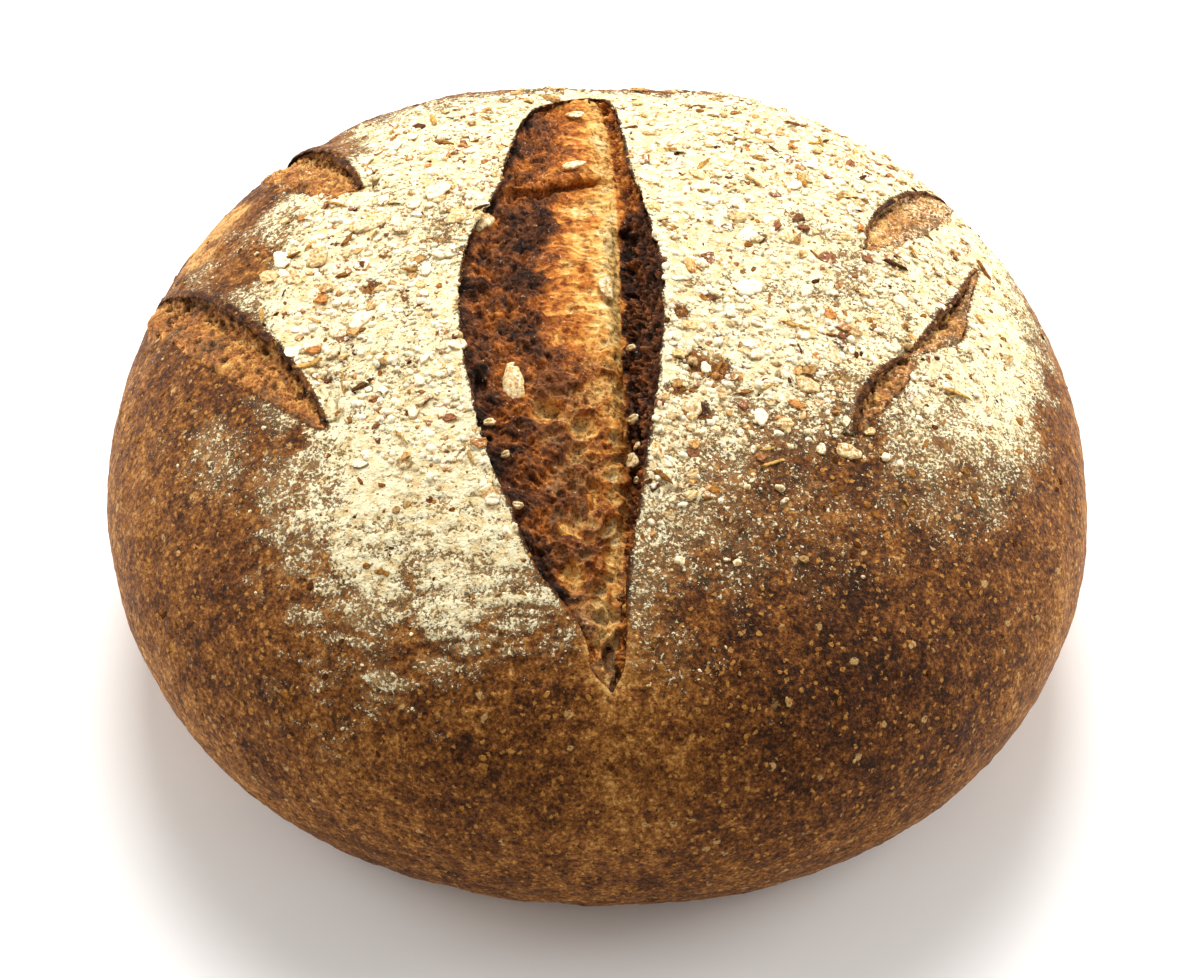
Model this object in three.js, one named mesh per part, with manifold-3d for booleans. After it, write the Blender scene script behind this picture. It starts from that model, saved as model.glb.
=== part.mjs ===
// A round multigrain country loaf, baked on a flat hearth: a high dome over rounded flanks, one long slash
// that has burst open across the crown, two shorter cuts on each shoulder, and rolled oats and grains baked
// onto the crust. It is one solid, in millimetres. X runs across the long slash to the right, Y runs along
// it to the back, Z is up, and the origin is the middle of the flat base.
import * as THREE from "three";
import { mergeVertices } from "three/addons/utils/BufferGeometryUtils.js";
import Module from "manifold-3d";

// Driving sizes of the whole loaf.
const MEAN_RADIUS = 120;
const LOAF_HEIGHT = 100;
const WAIST_HEIGHT = 39; // where the loaf is widest
const BASE_SHARE = 0.82; // radius of the flat base over the radius at the waist
const DOME_ROUNDNESS = 2.22; // exponent of the dome's profile: 2 is an ellipse, more is squarer
const FLANK_ROUNDNESS = 1.75; // the same, under the waist
const OVAL = -0.0089; // shares of the radius by which the outline swells two, three and four times round
const THREE_SIDED = -0.011;
const FOUR_SIDED = -0.0088;
const BACK_DIP = 6; // how far the crown sinks along the slash, behind the middle
const BACK_DIP_WIDTH = 28;
const LUMP_HEIGHT = 0.7; // unevenness of the crust

// The long slash: its two lips, from the back tip to the front tip, and its depths.
const BACK_TIP = [-2, 90];
const FRONT_TIP = [3.2, -98.5];
const LEFT_LIP = [
  [-10, 87], [-16.5, 79], [-19.3, 67], [-21.5, 50], [-23.5, 36], [-30.5, 13], [-31, -12], [-26, -40], [-17, -65],
  [-7, -81.5], [0.3, -93],
];
const RIGHT_LIP = [
  [2.6, 86.5], [5, 75], [6.6, 60], [8, 44], [11, 28], [15, 3], [14, -25], [10.5, -53], [7.5, -75], [5.6, -93],
];
const VALLEY_SHARE = 0.72; // the deepest line, as a share of the way from the left lip to the right one
const TIP_INSET = 2;
const SLASH_DEPTH = 9;
const FULL_DEPTH_WIDTH = 30; // where the slash is narrower than this it is also shallower
const LEFT_STEP = 2.5; // drop just inside the left lip
const RIGHT_STEP = 5; // drop just inside the right lip, which overhangs
const LEFT_RAISE = 0.8;
const RIGHT_RAISE = 2.2;
const RIGHT_UNDERCUT = 1.5;
const LIP_SPREAD = 5; // how far from its edge a lip stands proud
const LEDGE_HEIGHT = 3.5; // a torn lobe that fills the back end of the slash
const LEDGE_FRONT = 37;
const LEDGE_SLOPE = 4;

// The cuts on the shoulders, two on each. Each is a step: the edge towards the crown stands proud over a torn
// face that climbs out again to the foot line. The right front cut has torn in two, one pocket behind the other.
const SHOULDER_CUTS = [
  { edge: [[-112, 40], [-107, 31], [-91, 13], [-81.5, 1], [-72, -12], [-65, -24.5], [-60, -37]],
    foot: [[-113, 38], [-109, 18], [-99, 2.5], [-89, -10.5], [-80, -20], [-71, -28], [-61, -37]],
    depth: 5, lip: 1.6, undercut: 1.4 },
  { edge: [[-83, 86], [-75, 77], [-66, 64], [-60, 51], [-56.5, 41]],
    foot: [[-88, 83], [-84, 66], [-74, 49.5], [-66, 40.5], [-57, 39]],
    depth: 4.5, lip: 2.2, undercut: 1.4 },
  { edge: [[90, 63], [82, 56.3], [76.5, 49.7], [70.2, 40.2], [65.5, 30], [64, 19.5]],
    foot: [[91, 61.5], [87, 48], [80, 35], [72, 24.5], [65, 18.5]],
    depth: 3, lip: 0.8, undercut: 0.3 },
  { edge: [[93, 31], [87.7, 19.3], [83.1, 11.4], [79.2, 3.3], [75.5, -3.1], [71, -12]],
    foot: [[93.5, 30], [90, 17.8], [87.8, 9.1], [85.8, -0.4], [82, -6], [72, -13]],
    depth: 4, lip: 1.2, undercut: 0.5 },
  { edge: [[72.5, -12.5], [68, -16], [63.6, -21.7], [61, -26], [58.9, -31.5], [57.5, -40]],
    foot: [[73.5, -13.5], [72, -18], [69.5, -23], [65.5, -29], [62, -35], [58.5, -40]],
    depth: 3.5, lip: 1.2, undercut: 0.5 },
];
const CUT_END_TRIM = 0.03; // share of a cut left off at each end, where its width runs out
const CUTTER_HEADROOM = 9;
const EAR_SPREAD = 8; // how far the proud edge reaches back over the crust
const EAR_OVERHANG = 0.9;
const EAR_ROOT = 2.5;

// Rolled oats that lie on the crust: place, length, width and turn in degrees.
const OAT_FLAKES = [
  [-54, 26.6, 9.5, 5.2, 15], [-38, 36, 6.5, 5, 30], [-54.3, -5, 7.5, 5, 50], [17.8, 71.4, 8, 5, 5],
  [28, 65.3, 6.5, 5, 160], [50.8, 54.8, 10, 5.5, 165], [19, 62, 6, 4.5, 20], [-75, 20.2, 8, 4, 120],
  [-77.7, 15, 8, 4, 125], [-72.5, 13.5, 8, 4, 118], [-66.2, 17.6, 7, 5, 70], [35, 0.7, 6.5, 5.5, 0],
  [35.9, -17.9, 6, 5, 40], [21, -36, 6, 4.5, 80], [-33, 26, 7, 5, 60], [47.7, -27, 6, 4, 150],
  [35.6, 18.7, 6, 4.5, 30], [62.9, 39, 8, 5, 165],
];
const FLAKE_THICKNESS = 1.5;
const OAT_SIDES = 8;
const SMALL_SIDES = 6;
const FLAKE_TOP_SHARE = 0.72;

// Smaller flakes and grains, spread by a rule over the round patch of the dome that carries the topping.
const SMALL_PIECES = 64;
const SPREAD_A = 0.7548776662; // steps of an even two-way sequence
const SPREAD_B = 0.569840291;
const SPREAD_C = 0.6180339887;
const SPREAD_MIDDLE = [10, 18];
const SPREAD_RADIUS = 78;
const SMALL_LENGTHS = [3.2, 6];

// Faces.
const TURNS = 88;
const SLASH_SHARES = [1, 0.7, 0.42, 0.2, 0.05, 0]; // from the valley out to the lip
const DOME_RINGS = 17;
const FLANK_RINGS = 6;
const CUT_COLUMNS = 14;
const CUT_ROWS = 3;

const CRUST_COLOUR = 0xb08c5c;
const CRUST_ROUGHNESS = 0.9;

function planRadius(angle) {
  const swell = OVAL * Math.sin(2 * angle) + THREE_SIDED * Math.sin(3 * angle) + FOUR_SIDED * Math.cos(4 * angle);
  return MEAN_RADIUS * (1 + swell);
}

// The middle of the waist outline's box, which the loaf is centred on.
function outlineMiddle() {
  const box = new THREE.Box2();
  for (let degree = 0; degree < 360; degree += 1) {
    const angle = THREE.MathUtils.degToRad(degree);
    const radius = planRadius(angle);
    box.expandByPoint(new THREE.Vector2(radius * Math.cos(angle), radius * Math.sin(angle)));
  }
  return box.getCenter(new THREE.Vector2());
}
const MIDDLE = outlineMiddle();

function waistPoint(angle) {
  const radius = planRadius(angle);
  return new THREE.Vector2(radius * Math.cos(angle), radius * Math.sin(angle)).sub(MIDDLE);
}

// Height of the smooth dome over a place in plan, without its slash and cuts.
function domeHeight(x, y) {
  const place = new THREE.Vector2(x, y).add(MIDDLE);
  const share = Math.min(1, place.length() / planRadius(place.angle()));
  const rise = (1 - share ** DOME_ROUNDNESS) ** (1 / DOME_ROUNDNESS);
  const behind = THREE.MathUtils.clamp((y - 20) / 60, 0, 1);
  const dip = BACK_DIP * Math.exp(-((x / BACK_DIP_WIDTH) ** 2)) * behind * Math.sqrt(rise);
  const lumps = Math.sin(x / 9 + y / 23) * Math.cos(y / 11 - x / 31) + Math.sin(x / 17 - y / 15 + 1);
  return WAIST_HEIGHT + (LOAF_HEIGHT - WAIST_HEIGHT) * rise - dip + LUMP_HEIGHT * 0.5 * lumps * rise;
}

function domeNormal(x, y) {
  const slopeX = (domeHeight(x + 1, y) - domeHeight(x - 1, y)) / 2;
  const slopeY = (domeHeight(x, y + 1) - domeHeight(x, y - 1)) / 2;
  return new THREE.Vector3(-slopeX, -slopeY, 1).normalize();
}

function curveThrough(points) {
  return new THREE.SplineCurve(points.map(([x, y]) => new THREE.Vector2(x, y)));
}
const LEFT_CURVE = curveThrough([BACK_TIP, ...LEFT_LIP, FRONT_TIP]);
const RIGHT_CURVE = curveThrough([BACK_TIP, ...RIGHT_LIP, FRONT_TIP]);

// A station of the slash: its lip on the side of this turn, its valley, its width and which side it is.
function slashStation(turn) {
  const angle = Math.PI / 2 + (2 * Math.PI * turn) / TURNS;
  const along = (1 - Math.sin(angle)) / 2;
  const isLeft = turn <= TURNS / 2;
  const left = LEFT_CURVE.getPointAt(along);
  const right = RIGHT_CURVE.getPointAt(along);
  const valley = left.clone().lerp(right, VALLEY_SHARE);
  valley.y -= TIP_INSET * Math.sin(angle);
  return { angle, isLeft, lip: isLeft ? left : right, valley, width: left.distanceTo(right) };
}

// Depth under the dome inside the slash: a drop at the lip, then a slope down to the valley. Towards the
// back a torn lobe lifts the left side.
function slashDepth(station, share, y) {
  const fullness = Math.min(1, station.width / FULL_DEPTH_WIDTH);
  const step = station.isLeft ? LEFT_STEP : RIGHT_STEP;
  const slope = (SLASH_DEPTH - step) * share ** (station.isLeft ? 1.2 : 0.6);
  const lobe = LEDGE_HEIGHT * THREE.MathUtils.smoothstep(y, LEDGE_FRONT, LEDGE_FRONT + LEDGE_SLOPE);
  return fullness * (step + slope) - fullness * lobe * (station.isLeft ? 1 : 0.4);
}

function slashPoint(turn, share) {
  const station = slashStation(turn);
  const place = station.lip.clone().lerp(station.valley, share);
  const fullness = Math.min(1, station.width / FULL_DEPTH_WIDTH);
  if (share === 0) {
    const raise = fullness * (station.isLeft ? LEFT_RAISE : RIGHT_RAISE);
    return [place.x, place.y, domeHeight(place.x, place.y) + raise];
  }
  const depth = slashDepth(station, share, place.y);
  const undercut = station.isLeft || share > SLASH_SHARES[4] ? 0 : RIGHT_UNDERCUT * fullness;
  return [place.x + undercut, place.y, domeHeight(place.x, place.y) - depth];
}

// Dome rings run from the lips of the slash out to the waist, closer together as the side steepens.
function domePoint(turn, share) {
  const station = slashStation(turn);
  const reach = Math.sin((share * Math.PI) / 2) ** (2 / DOME_ROUNDNESS);
  const place = station.lip.clone().lerp(waistPoint(station.angle), reach);
  const fullness = Math.min(1, station.width / FULL_DEPTH_WIDTH);
  const raise = fullness * (station.isLeft ? LEFT_RAISE : RIGHT_RAISE);
  const lip = raise * Math.exp(-place.distanceTo(station.lip) / LIP_SPREAD);
  return [place.x, place.y, domeHeight(place.x, place.y) + lip];
}

function flankPoint(turn, share) {
  const { angle } = slashStation(turn);
  const swing = (share * Math.PI) / 2;
  const reach = BASE_SHARE + (1 - BASE_SHARE) * Math.cos(swing) ** (2 / FLANK_ROUNDNESS);
  const radius = planRadius(angle) * reach;
  const height = WAIST_HEIGHT * (1 - Math.sin(swing) ** (2 / FLANK_ROUNDNESS));
  return [radius * Math.cos(angle) - MIDDLE.x, radius * Math.sin(angle) - MIDDLE.y, Math.max(0, height)];
}

// The crust as one closed surface: rings from the valley of the slash to the waist and down to the base.
function crustGeometry() {
  const rings = [];
  SLASH_SHARES.forEach((share) => rings.push((turn) => slashPoint(turn, share)));
  for (let ring = 1; ring <= DOME_RINGS; ring += 1) {
    rings.push((turn) => domePoint(turn, ring / DOME_RINGS));
  }
  for (let ring = 1; ring <= FLANK_RINGS; ring += 1) {
    rings.push((turn) => flankPoint(turn, ring / FLANK_RINGS));
  }
  const positions = [];
  rings.forEach((pointOf) => {
    for (let turn = 0; turn < TURNS; turn += 1) positions.push(...pointOf(turn));
  });
  const baseMiddle = positions.length / 3;
  positions.push(0, 0, 0);
  // The valley is one line, so a turn and its mirror share its points.
  const vertex = (ring, turn) => {
    const wrapped = turn % TURNS;
    return ring === 0 ? Math.min(wrapped, (TURNS - wrapped) % TURNS) : ring * TURNS + wrapped;
  };
  const faces = [];
  const addFace = (a, b, c) => {
    if (a !== b && b !== c && c !== a) faces.push(a, b, c);
  };
  for (let ring = 0; ring + 1 < rings.length; ring += 1) {
    for (let turn = 0; turn < TURNS; turn += 1) {
      addFace(vertex(ring, turn), vertex(ring + 1, turn), vertex(ring + 1, turn + 1));
      addFace(vertex(ring, turn), vertex(ring + 1, turn + 1), vertex(ring, turn + 1));
    }
  }
  for (let turn = 0; turn < TURNS; turn += 1) {
    addFace(vertex(rings.length - 1, turn), baseMiddle, vertex(rings.length - 1, turn + 1));
  }
  const geometry = new THREE.BufferGeometry();
  geometry.setAttribute("position", new THREE.Float32BufferAttribute(positions, 3));
  geometry.setIndex(faces);
  return geometry;
}

// A closed slab over a grid of columns and rows, between a lower and an upper surface.
function slabGeometry(columns, rows, lowerPoint, upperPoint) {
  const positions = [];
  [lowerPoint, upperPoint].forEach((pointOf) => {
    for (let column = 0; column <= columns; column += 1) {
      for (let row = 0; row <= rows; row += 1) positions.push(...pointOf(column / columns, row / rows));
    }
  });
  const layer = (columns + 1) * (rows + 1);
  const vertex = (side, column, row) => side * layer + column * (rows + 1) + row;
  const faces = [];
  for (let column = 0; column < columns; column += 1) {
    for (let row = 0; row < rows; row += 1) {
      const [a, b, c, d] = [[0, 0], [1, 0], [1, 1], [0, 1]].map(([i, j]) => vertex(0, column + i, row + j));
      faces.push(a, c, b, a, d, c);
      faces.push(a + layer, b + layer, c + layer, a + layer, c + layer, d + layer);
    }
  }
  const rim = [];
  for (let column = 0; column < columns; column += 1) rim.push(vertex(0, column, 0));
  for (let row = 0; row < rows; row += 1) rim.push(vertex(0, columns, row));
  for (let column = columns; column > 0; column -= 1) rim.push(vertex(0, column, rows));
  for (let row = rows; row > 0; row -= 1) rim.push(vertex(0, 0, row));
  rim.forEach((start, i) => {
    const end = rim[(i + 1) % rim.length];
    faces.push(start, end, end + layer, start, end + layer, start + layer);
  });
  const geometry = new THREE.BufferGeometry();
  geometry.setAttribute("position", new THREE.Float32BufferAttribute(positions, 3));
  geometry.setIndex(faces);
  return geometry;
}

// Sideways direction at a place on a cut's edge, towards the crown of the loaf.
function towardsCrown(curve, along) {
  const tangent = curve.getTangentAt(along);
  const place = curve.getPointAt(along);
  const sideways = new THREE.Vector2(-tangent.y, tangent.x);
  return sideways.dot(place) < 0 ? sideways : sideways.negate();
}

// What a shoulder cut takes away: deepest under its edge, running out at its foot line and its two ends.
function cutterGeometry({ edge, foot, depth, undercut }) {
  const edgeCurve = curveThrough(edge);
  const footCurve = curveThrough(foot);
  const placeAt = (column, row, sunk) => {
    const along = THREE.MathUtils.lerp(CUT_END_TRIM, 1 - CUT_END_TRIM, column);
    const fullness = Math.sin(Math.PI * along) ** 0.6;
    const place = edgeCurve.getPointAt(along).lerp(footCurve.getPointAt(along), row);
    place.addScaledVector(towardsCrown(edgeCurve, along), sunk * fullness * (1 - row));
    const down = depth * fullness * (1 - row) ** 1.2;
    return { place, down };
  };
  const lower = (column, row) => {
    const { place, down } = placeAt(column, row, undercut);
    return [place.x, place.y, domeHeight(place.x, place.y) + 0.3 - down];
  };
  const upper = (column, row) => {
    const { place } = placeAt(column, row, 0);
    return [place.x, place.y, domeHeight(place.x, place.y) + CUTTER_HEADROOM];
  };
  return slabGeometry(CUT_COLUMNS, CUT_ROWS, lower, upper);
}

// The proud edge of a shoulder cut: highest over the cut, sinking into the crust behind it.
function earGeometry({ edge, lip }) {
  const curve = curveThrough(edge);
  const pointOf = (column, row, rise) => {
    const along = THREE.MathUtils.lerp(CUT_END_TRIM, 1 - CUT_END_TRIM, column);
    const place = curve.getPointAt(along);
    place.addScaledVector(towardsCrown(curve, along), EAR_SPREAD * row - EAR_OVERHANG);
    const fullness = Math.sin(Math.PI * along) ** 0.6;
    return [place.x, place.y, domeHeight(place.x, place.y) + rise(fullness, row)];
  };
  const lower = (column, row) => pointOf(column, row, () => -EAR_ROOT);
  const upper = (column, row) => pointOf(column, row, (fullness, share) => lip * fullness * (1 - share) ** 1.5 - 0.3);
  return slabGeometry(CUT_COLUMNS, CUT_ROWS, lower, upper);
}

// A flake of rolled oat or a flattened grain, half sunk in the crust where it lies.
function flakeGeometry([x, y, length, width, turn], sides) {
  const geometry = new THREE.CylinderGeometry(FLAKE_TOP_SHARE, 1, FLAKE_THICKNESS, sides, 1);
  geometry.rotateX(Math.PI / 2);
  geometry.scale(length / 2, width / 2, 1);
  geometry.rotateZ(THREE.MathUtils.degToRad(turn));
  const upright = new THREE.Quaternion().setFromUnitVectors(new THREE.Vector3(0, 0, 1), domeNormal(x, y));
  geometry.applyQuaternion(upright);
  geometry.translate(x, y, domeHeight(x, y));
  return geometry;
}

function isInSlash(x, y) {
  for (let step = 0; step <= TURNS; step += 1) {
    const along = step / TURNS;
    const left = LEFT_CURVE.getPointAt(along);
    const right = RIGHT_CURVE.getPointAt(along);
    if (Math.abs(left.y - y) < 2 && x > left.x - 4 && x < right.x + 4) return true;
  }
  return false;
}

function isNearCut(x, y) {
  const place = new THREE.Vector2(x, y);
  return SHOULDER_CUTS.some(({ edge, foot }) =>
    [...curveThrough(edge).getSpacedPoints(12), ...curveThrough(foot).getSpacedPoints(12)].some(
      (point) => point.distanceTo(place) < 6,
    ),
  );
}

// Even spread of the smaller pieces: the steps of the sequence give each its place, length and turn.
function smallPieces() {
  const pieces = [];
  for (let step = 1; pieces.length < SMALL_PIECES; step += 1) {
    const angle = 2 * Math.PI * ((step * SPREAD_A) % 1);
    const radius = SPREAD_RADIUS * Math.sqrt((step * SPREAD_B) % 1);
    const [x, y] = [SPREAD_MIDDLE[0] + radius * Math.cos(angle), SPREAD_MIDDLE[1] + radius * Math.sin(angle)];
    const draw = (step * SPREAD_C) % 1;
    const length = THREE.MathUtils.lerp(...SMALL_LENGTHS, draw * draw);
    if (!isInSlash(x, y) && !isNearCut(x, y)) pieces.push([x, y, length, length * 0.65, 360 * draw]);
  }
  return pieces;
}

const wasm = await Module();
wasm.setup();

// The volume inside a closed geometry, negative where its faces point inwards.
function signedVolume(geometry) {
  const places = geometry.getAttribute("position");
  const corners = [new THREE.Vector3(), new THREE.Vector3(), new THREE.Vector3()];
  let sixfold = 0;
  for (let face = 0; face < geometry.index.count; face += 3) {
    corners.forEach((corner, i) => corner.fromBufferAttribute(places, geometry.index.getX(face + i)));
    sixfold += corners[0].dot(corners[1].clone().cross(corners[2]));
  }
  return sixfold / 6;
}

function solidOf(geometry) {
  geometry.deleteAttribute("normal");
  geometry.deleteAttribute("uv");
  const merged = mergeVertices(geometry, 1e-4);
  const triVerts = new Uint32Array(merged.index.array);
  if (signedVolume(merged) < 0) triVerts.reverse();
  const vertProperties = new Float32Array(merged.getAttribute("position").array);
  return new wasm.Manifold(new wasm.Mesh({ numProp: 3, vertProperties, triVerts }));
}

function geometryOf(solid) {
  const mesh = solid.getMesh();
  const geometry = new THREE.BufferGeometry();
  geometry.setAttribute("position", new THREE.BufferAttribute(mesh.vertProperties, 3));
  geometry.setIndex(new THREE.BufferAttribute(mesh.triVerts, 1));
  geometry.computeVertexNormals();
  return geometry;
}

function loafSolid() {
  let solid = solidOf(crustGeometry());
  SHOULDER_CUTS.forEach((cut) => {
    solid = solid.subtract(solidOf(cutterGeometry(cut)));
  });
  SHOULDER_CUTS.forEach((cut) => {
    solid = solid.add(solidOf(earGeometry(cut)));
  });
  OAT_FLAKES.forEach((flake) => {
    solid = solid.add(solidOf(flakeGeometry(flake, OAT_SIDES)));
  });
  smallPieces().forEach((piece) => {
    solid = solid.add(solidOf(flakeGeometry(piece, SMALL_SIDES)));
  });
  // A cut can leave a loose sliver at its thin end, which is dropped.
  return solid.decompose().reduce((largest, body) => (body.volume() > largest.volume() ? body : largest));
}

const crust = new THREE.MeshStandardMaterial({ color: CRUST_COLOUR, roughness: CRUST_ROUGHNESS, metalness: 0 });
const loaf = new THREE.Mesh(geometryOf(loafSolid()), crust);
loaf.name = "loaf";

const part = new THREE.Group();
part.add(loaf);

export default part;
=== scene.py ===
"""A round multigrain country loaf: floured crust, a burst long slash, five shoulder cuts, oats and grain.

Sizes inside the classes are millimetres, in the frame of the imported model, and MM turns them into metres
where a mesh, a camera or a light is made. X runs across the long slash to the right, and Y along it to
the back.
"""

import logging
import math
from dataclasses import dataclass, field
from enum import Enum
from functools import cached_property

import bpy
import numpy as np
from mathutils import Euler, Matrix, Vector


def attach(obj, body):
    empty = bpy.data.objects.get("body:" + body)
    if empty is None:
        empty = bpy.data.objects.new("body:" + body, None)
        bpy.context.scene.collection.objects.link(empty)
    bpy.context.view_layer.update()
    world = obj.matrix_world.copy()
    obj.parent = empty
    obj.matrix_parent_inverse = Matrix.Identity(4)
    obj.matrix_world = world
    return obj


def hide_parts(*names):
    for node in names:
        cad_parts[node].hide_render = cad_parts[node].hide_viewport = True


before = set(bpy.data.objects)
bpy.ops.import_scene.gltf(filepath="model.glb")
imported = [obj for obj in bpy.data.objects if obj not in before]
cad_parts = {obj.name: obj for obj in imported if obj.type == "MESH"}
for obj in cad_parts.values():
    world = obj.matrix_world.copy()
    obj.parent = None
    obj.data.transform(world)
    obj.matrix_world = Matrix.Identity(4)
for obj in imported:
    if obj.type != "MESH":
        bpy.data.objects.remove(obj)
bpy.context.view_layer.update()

LOG = logging.getLogger("loaf")
MM = 0.001
BODY = "root"
NODE = "loaf"
SEED = 41
FULL_TURN = 2 * math.pi
AXIS_PRIMES = (73856093, 19349663, 83492791)
SEED_PRIME = 374761393
BIT_MIXERS = ((13, 1274126177), (15, 668265263))
REACH = 30.0
Pair = tuple[float, float]
Pairs = tuple[Pair, ...]
Triple = tuple[float, float, float]
Colour = tuple[float, float, float, float]
Stops = tuple[tuple[float, Colour], ...]
Flake = tuple[float, float, float, float, float]
Arrays = tuple[np.ndarray, ...]
Socket = bpy.types.NodeSocket


# --- noise over points in millimetres ---------------------------------


def hashed(cells: np.ndarray, seed: int) -> np.ndarray:
    """An even random number from 0 to 1 for each whole-number cell, by mixing the bits of its address."""
    address = cells.astype(np.int64)
    mixed = seed * SEED_PRIME
    for axis, prime in enumerate(AXIS_PRIMES):
        mixed = mixed ^ (address[..., axis] * prime)
    for shift, mixer in BIT_MIXERS:
        mixed = ((mixed ^ (mixed >> shift)) * mixer) & 0xFFFFFFFF
    return ((mixed ^ (mixed >> 16)) & 0xFFFFFF) / float(0x1000000)


def soft_noise(points: np.ndarray, size: float | Triple, seed: int) -> np.ndarray:
    """Value noise: hashed numbers at the corners of a grid of cells, blended smoothly between them.

    Args:
        points: shape (..., 3).
        size: edge of a cell, or its three edges.
        seed: picks the field.

    Returns:
        Numbers from -1 to 1, shape (...).
    """
    scaled = points / np.asarray(size, float)
    cell = np.floor(scaled)
    t = scaled - cell
    t = t * t * t * (t * (t * 6 - 15) + 10)
    total = np.zeros(scaled.shape[:-1])
    for corner in np.ndindex(2, 2, 2):
        weight = np.prod(np.where(np.array(corner) == 1, t, 1 - t), axis=-1)
        total += weight * hashed(cell + np.array(corner), seed)
    return 2 * total - 1


def layered_noise(points: np.ndarray, size: float | Triple, seed: int, layers: int = 3) -> np.ndarray:
    """Sum of soft noises, each half the size and half the strength of the one before: about -1 to 1."""
    total, weight = np.zeros(points.shape[:-1]), 0.0
    for layer in range(layers):
        share = 0.5**layer
        total += share * soft_noise(points, np.asarray(size, float) * share, seed + 17 * layer)
        weight += share
    return total / weight * 1.4


def ridged_noise(points: np.ndarray, size: float | Triple, seed: int, layers: int = 3) -> np.ndarray:
    """Sharp crests where a layered noise passes through nothing: 0 in the hollows, 1 on the crests."""
    return np.clip(1 - 2.2 * np.abs(layered_noise(points, size, seed, layers)), 0, 1)


def pushed(points: np.ndarray, size: float, amount: float, seed: int) -> np.ndarray:
    """The points pushed about by layered noise of this size, by up to about this many millimetres."""
    return points + np.stack([layered_noise(points, size, seed + k) * amount for k in range(3)], -1)


def cell_noise(points: np.ndarray, size: float | Triple, seed: int) -> Arrays:
    """Distances to the nearest and second nearest of randomly placed seeds, one seed to each grid cell.

    Args:
        points: shape (..., 3).
        size: edge of a grid cell, or its three edges.
        seed: picks the field.

    Returns:
        Nearest distance, second distance, both in cells, and a random number for the nearest seed.
    """
    scaled = points / np.asarray(size, float)
    base = np.floor(scaled)
    far = np.full(scaled.shape[:-1], 9.0)
    near, second, who = far, far, np.zeros_like(far)
    for shift in np.ndindex(3, 3, 3):
        cell = base + np.array(shift) - 1
        spot = cell + np.stack([hashed(cell, seed + k) for k in range(3)], -1)
        gap = np.linalg.norm(scaled - spot, axis=-1)
        closer = gap < near
        second = np.where(closer, near, np.minimum(second, gap))
        who = np.where(closer, hashed(cell, seed + 3), who)
        near = np.where(closer, gap, near)
    return near, second, who


def ramp(value: np.ndarray, low: float, high: float) -> np.ndarray:
    """0 below low, 1 above high and a smooth climb between them, for low above high too."""
    t = np.clip((value - low) / (high - low), 0, 1)
    return t * t * (3 - 2 * t)


def bell(value: np.ndarray, spread: float) -> np.ndarray:
    """1 where value is nothing, less on both sides: e to minus the square of value over spread."""
    return np.exp(-((value / spread) ** 2))


def inside_distance(place: np.ndarray, loop: np.ndarray) -> np.ndarray:
    """Distance inside a closed outline, negative outside it, and no further out than minus REACH.

    Args:
        place: places in plan, shape (..., 2).
        loop: corners of the outline in order, shape (n, 2).

    Returns:
        Distances, shape (...).
    """
    flat = place.reshape(-1, 2)
    near = np.all((flat > loop.min(0) - REACH) & (flat < loop.max(0) + REACH), axis=1)
    some = flat[near]
    best, inside = np.full(len(some), REACH * REACH), np.zeros(len(some), bool)
    for a, b in zip(loop, np.roll(loop, -1, axis=0)):
        run = b - a
        t = np.clip(((some - a) @ run) / max(run @ run, 1e-9), 0, 1)
        off = some - a - t[:, None] * run
        best = np.minimum(best, np.einsum("ij,ij->i", off, off))
        straddles = (a[1] > some[:, 1]) != (b[1] > some[:, 1])
        inside ^= straddles & (some[:, 0] < a[0] + (some[:, 1] - a[1]) * run[0] / (run[1] or 1e-9))
    distance = np.full(len(flat), -REACH)
    distance[near] = np.sqrt(best) * np.where(inside, 1, -1)
    return distance.reshape(place.shape[:-1])


# --- the loaf's own form ----------------------------------------------


@dataclass(frozen=True)
class PlanCurve:
    """A smooth curve in plan through a few points, read by its share of the length."""

    points: Pairs
    steps: int = 60

    @cached_property
    def _walk(self) -> Arrays:
        """Dense points along the curve, a cubic through both ends of each span, and their length shares."""
        p = np.array(self.points, float)
        ends = np.vstack([p[:1], p, p[-1:]])
        t = np.linspace(0, 1, self.steps, endpoint=False)[None, :, None]
        a, b, c, d = (ends[k : len(p) - 1 + k, None] for k in range(4))
        slope_b, slope_c = (c - a) / 2, (d - b) / 2
        spans = (2 * b - 2 * c + slope_b + slope_c) * t**3 + (3 * c - 3 * b - 2 * slope_b - slope_c) * t**2
        spans = spans + slope_b * t + b
        dense = np.vstack([spans.reshape(-1, 2), p[-1:]])
        length = np.concatenate([[0], np.cumsum(np.linalg.norm(np.diff(dense, axis=0), axis=1))])
        return dense, length / length[-1]

    def at(self, along: np.ndarray) -> np.ndarray:
        """The places at these shares of the length, shape (..., 2)."""
        dense, share = self._walk
        return np.stack([np.interp(along, share, dense[:, k]) for k in range(2)], -1)

    def tangent(self, along: np.ndarray) -> np.ndarray:
        """Unit directions along the curve, shape (..., 2)."""
        step = self.at(np.clip(along + 0.01, 0, 1)) - self.at(np.clip(along - 0.01, 0, 1))
        return step / np.linalg.norm(step, axis=-1, keepdims=True)

    def across_at(self, y: np.ndarray) -> np.ndarray:
        """X of a curve that runs steadily from the back to the front, at these places along Y."""
        dense, _ = self._walk
        return np.interp(-y, -dense[:, 1], dense[:, 0])

    def length(self) -> float:
        """Length of the whole curve."""
        dense, _ = self._walk
        return float(np.linalg.norm(np.diff(dense, axis=0), axis=1).sum())


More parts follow.
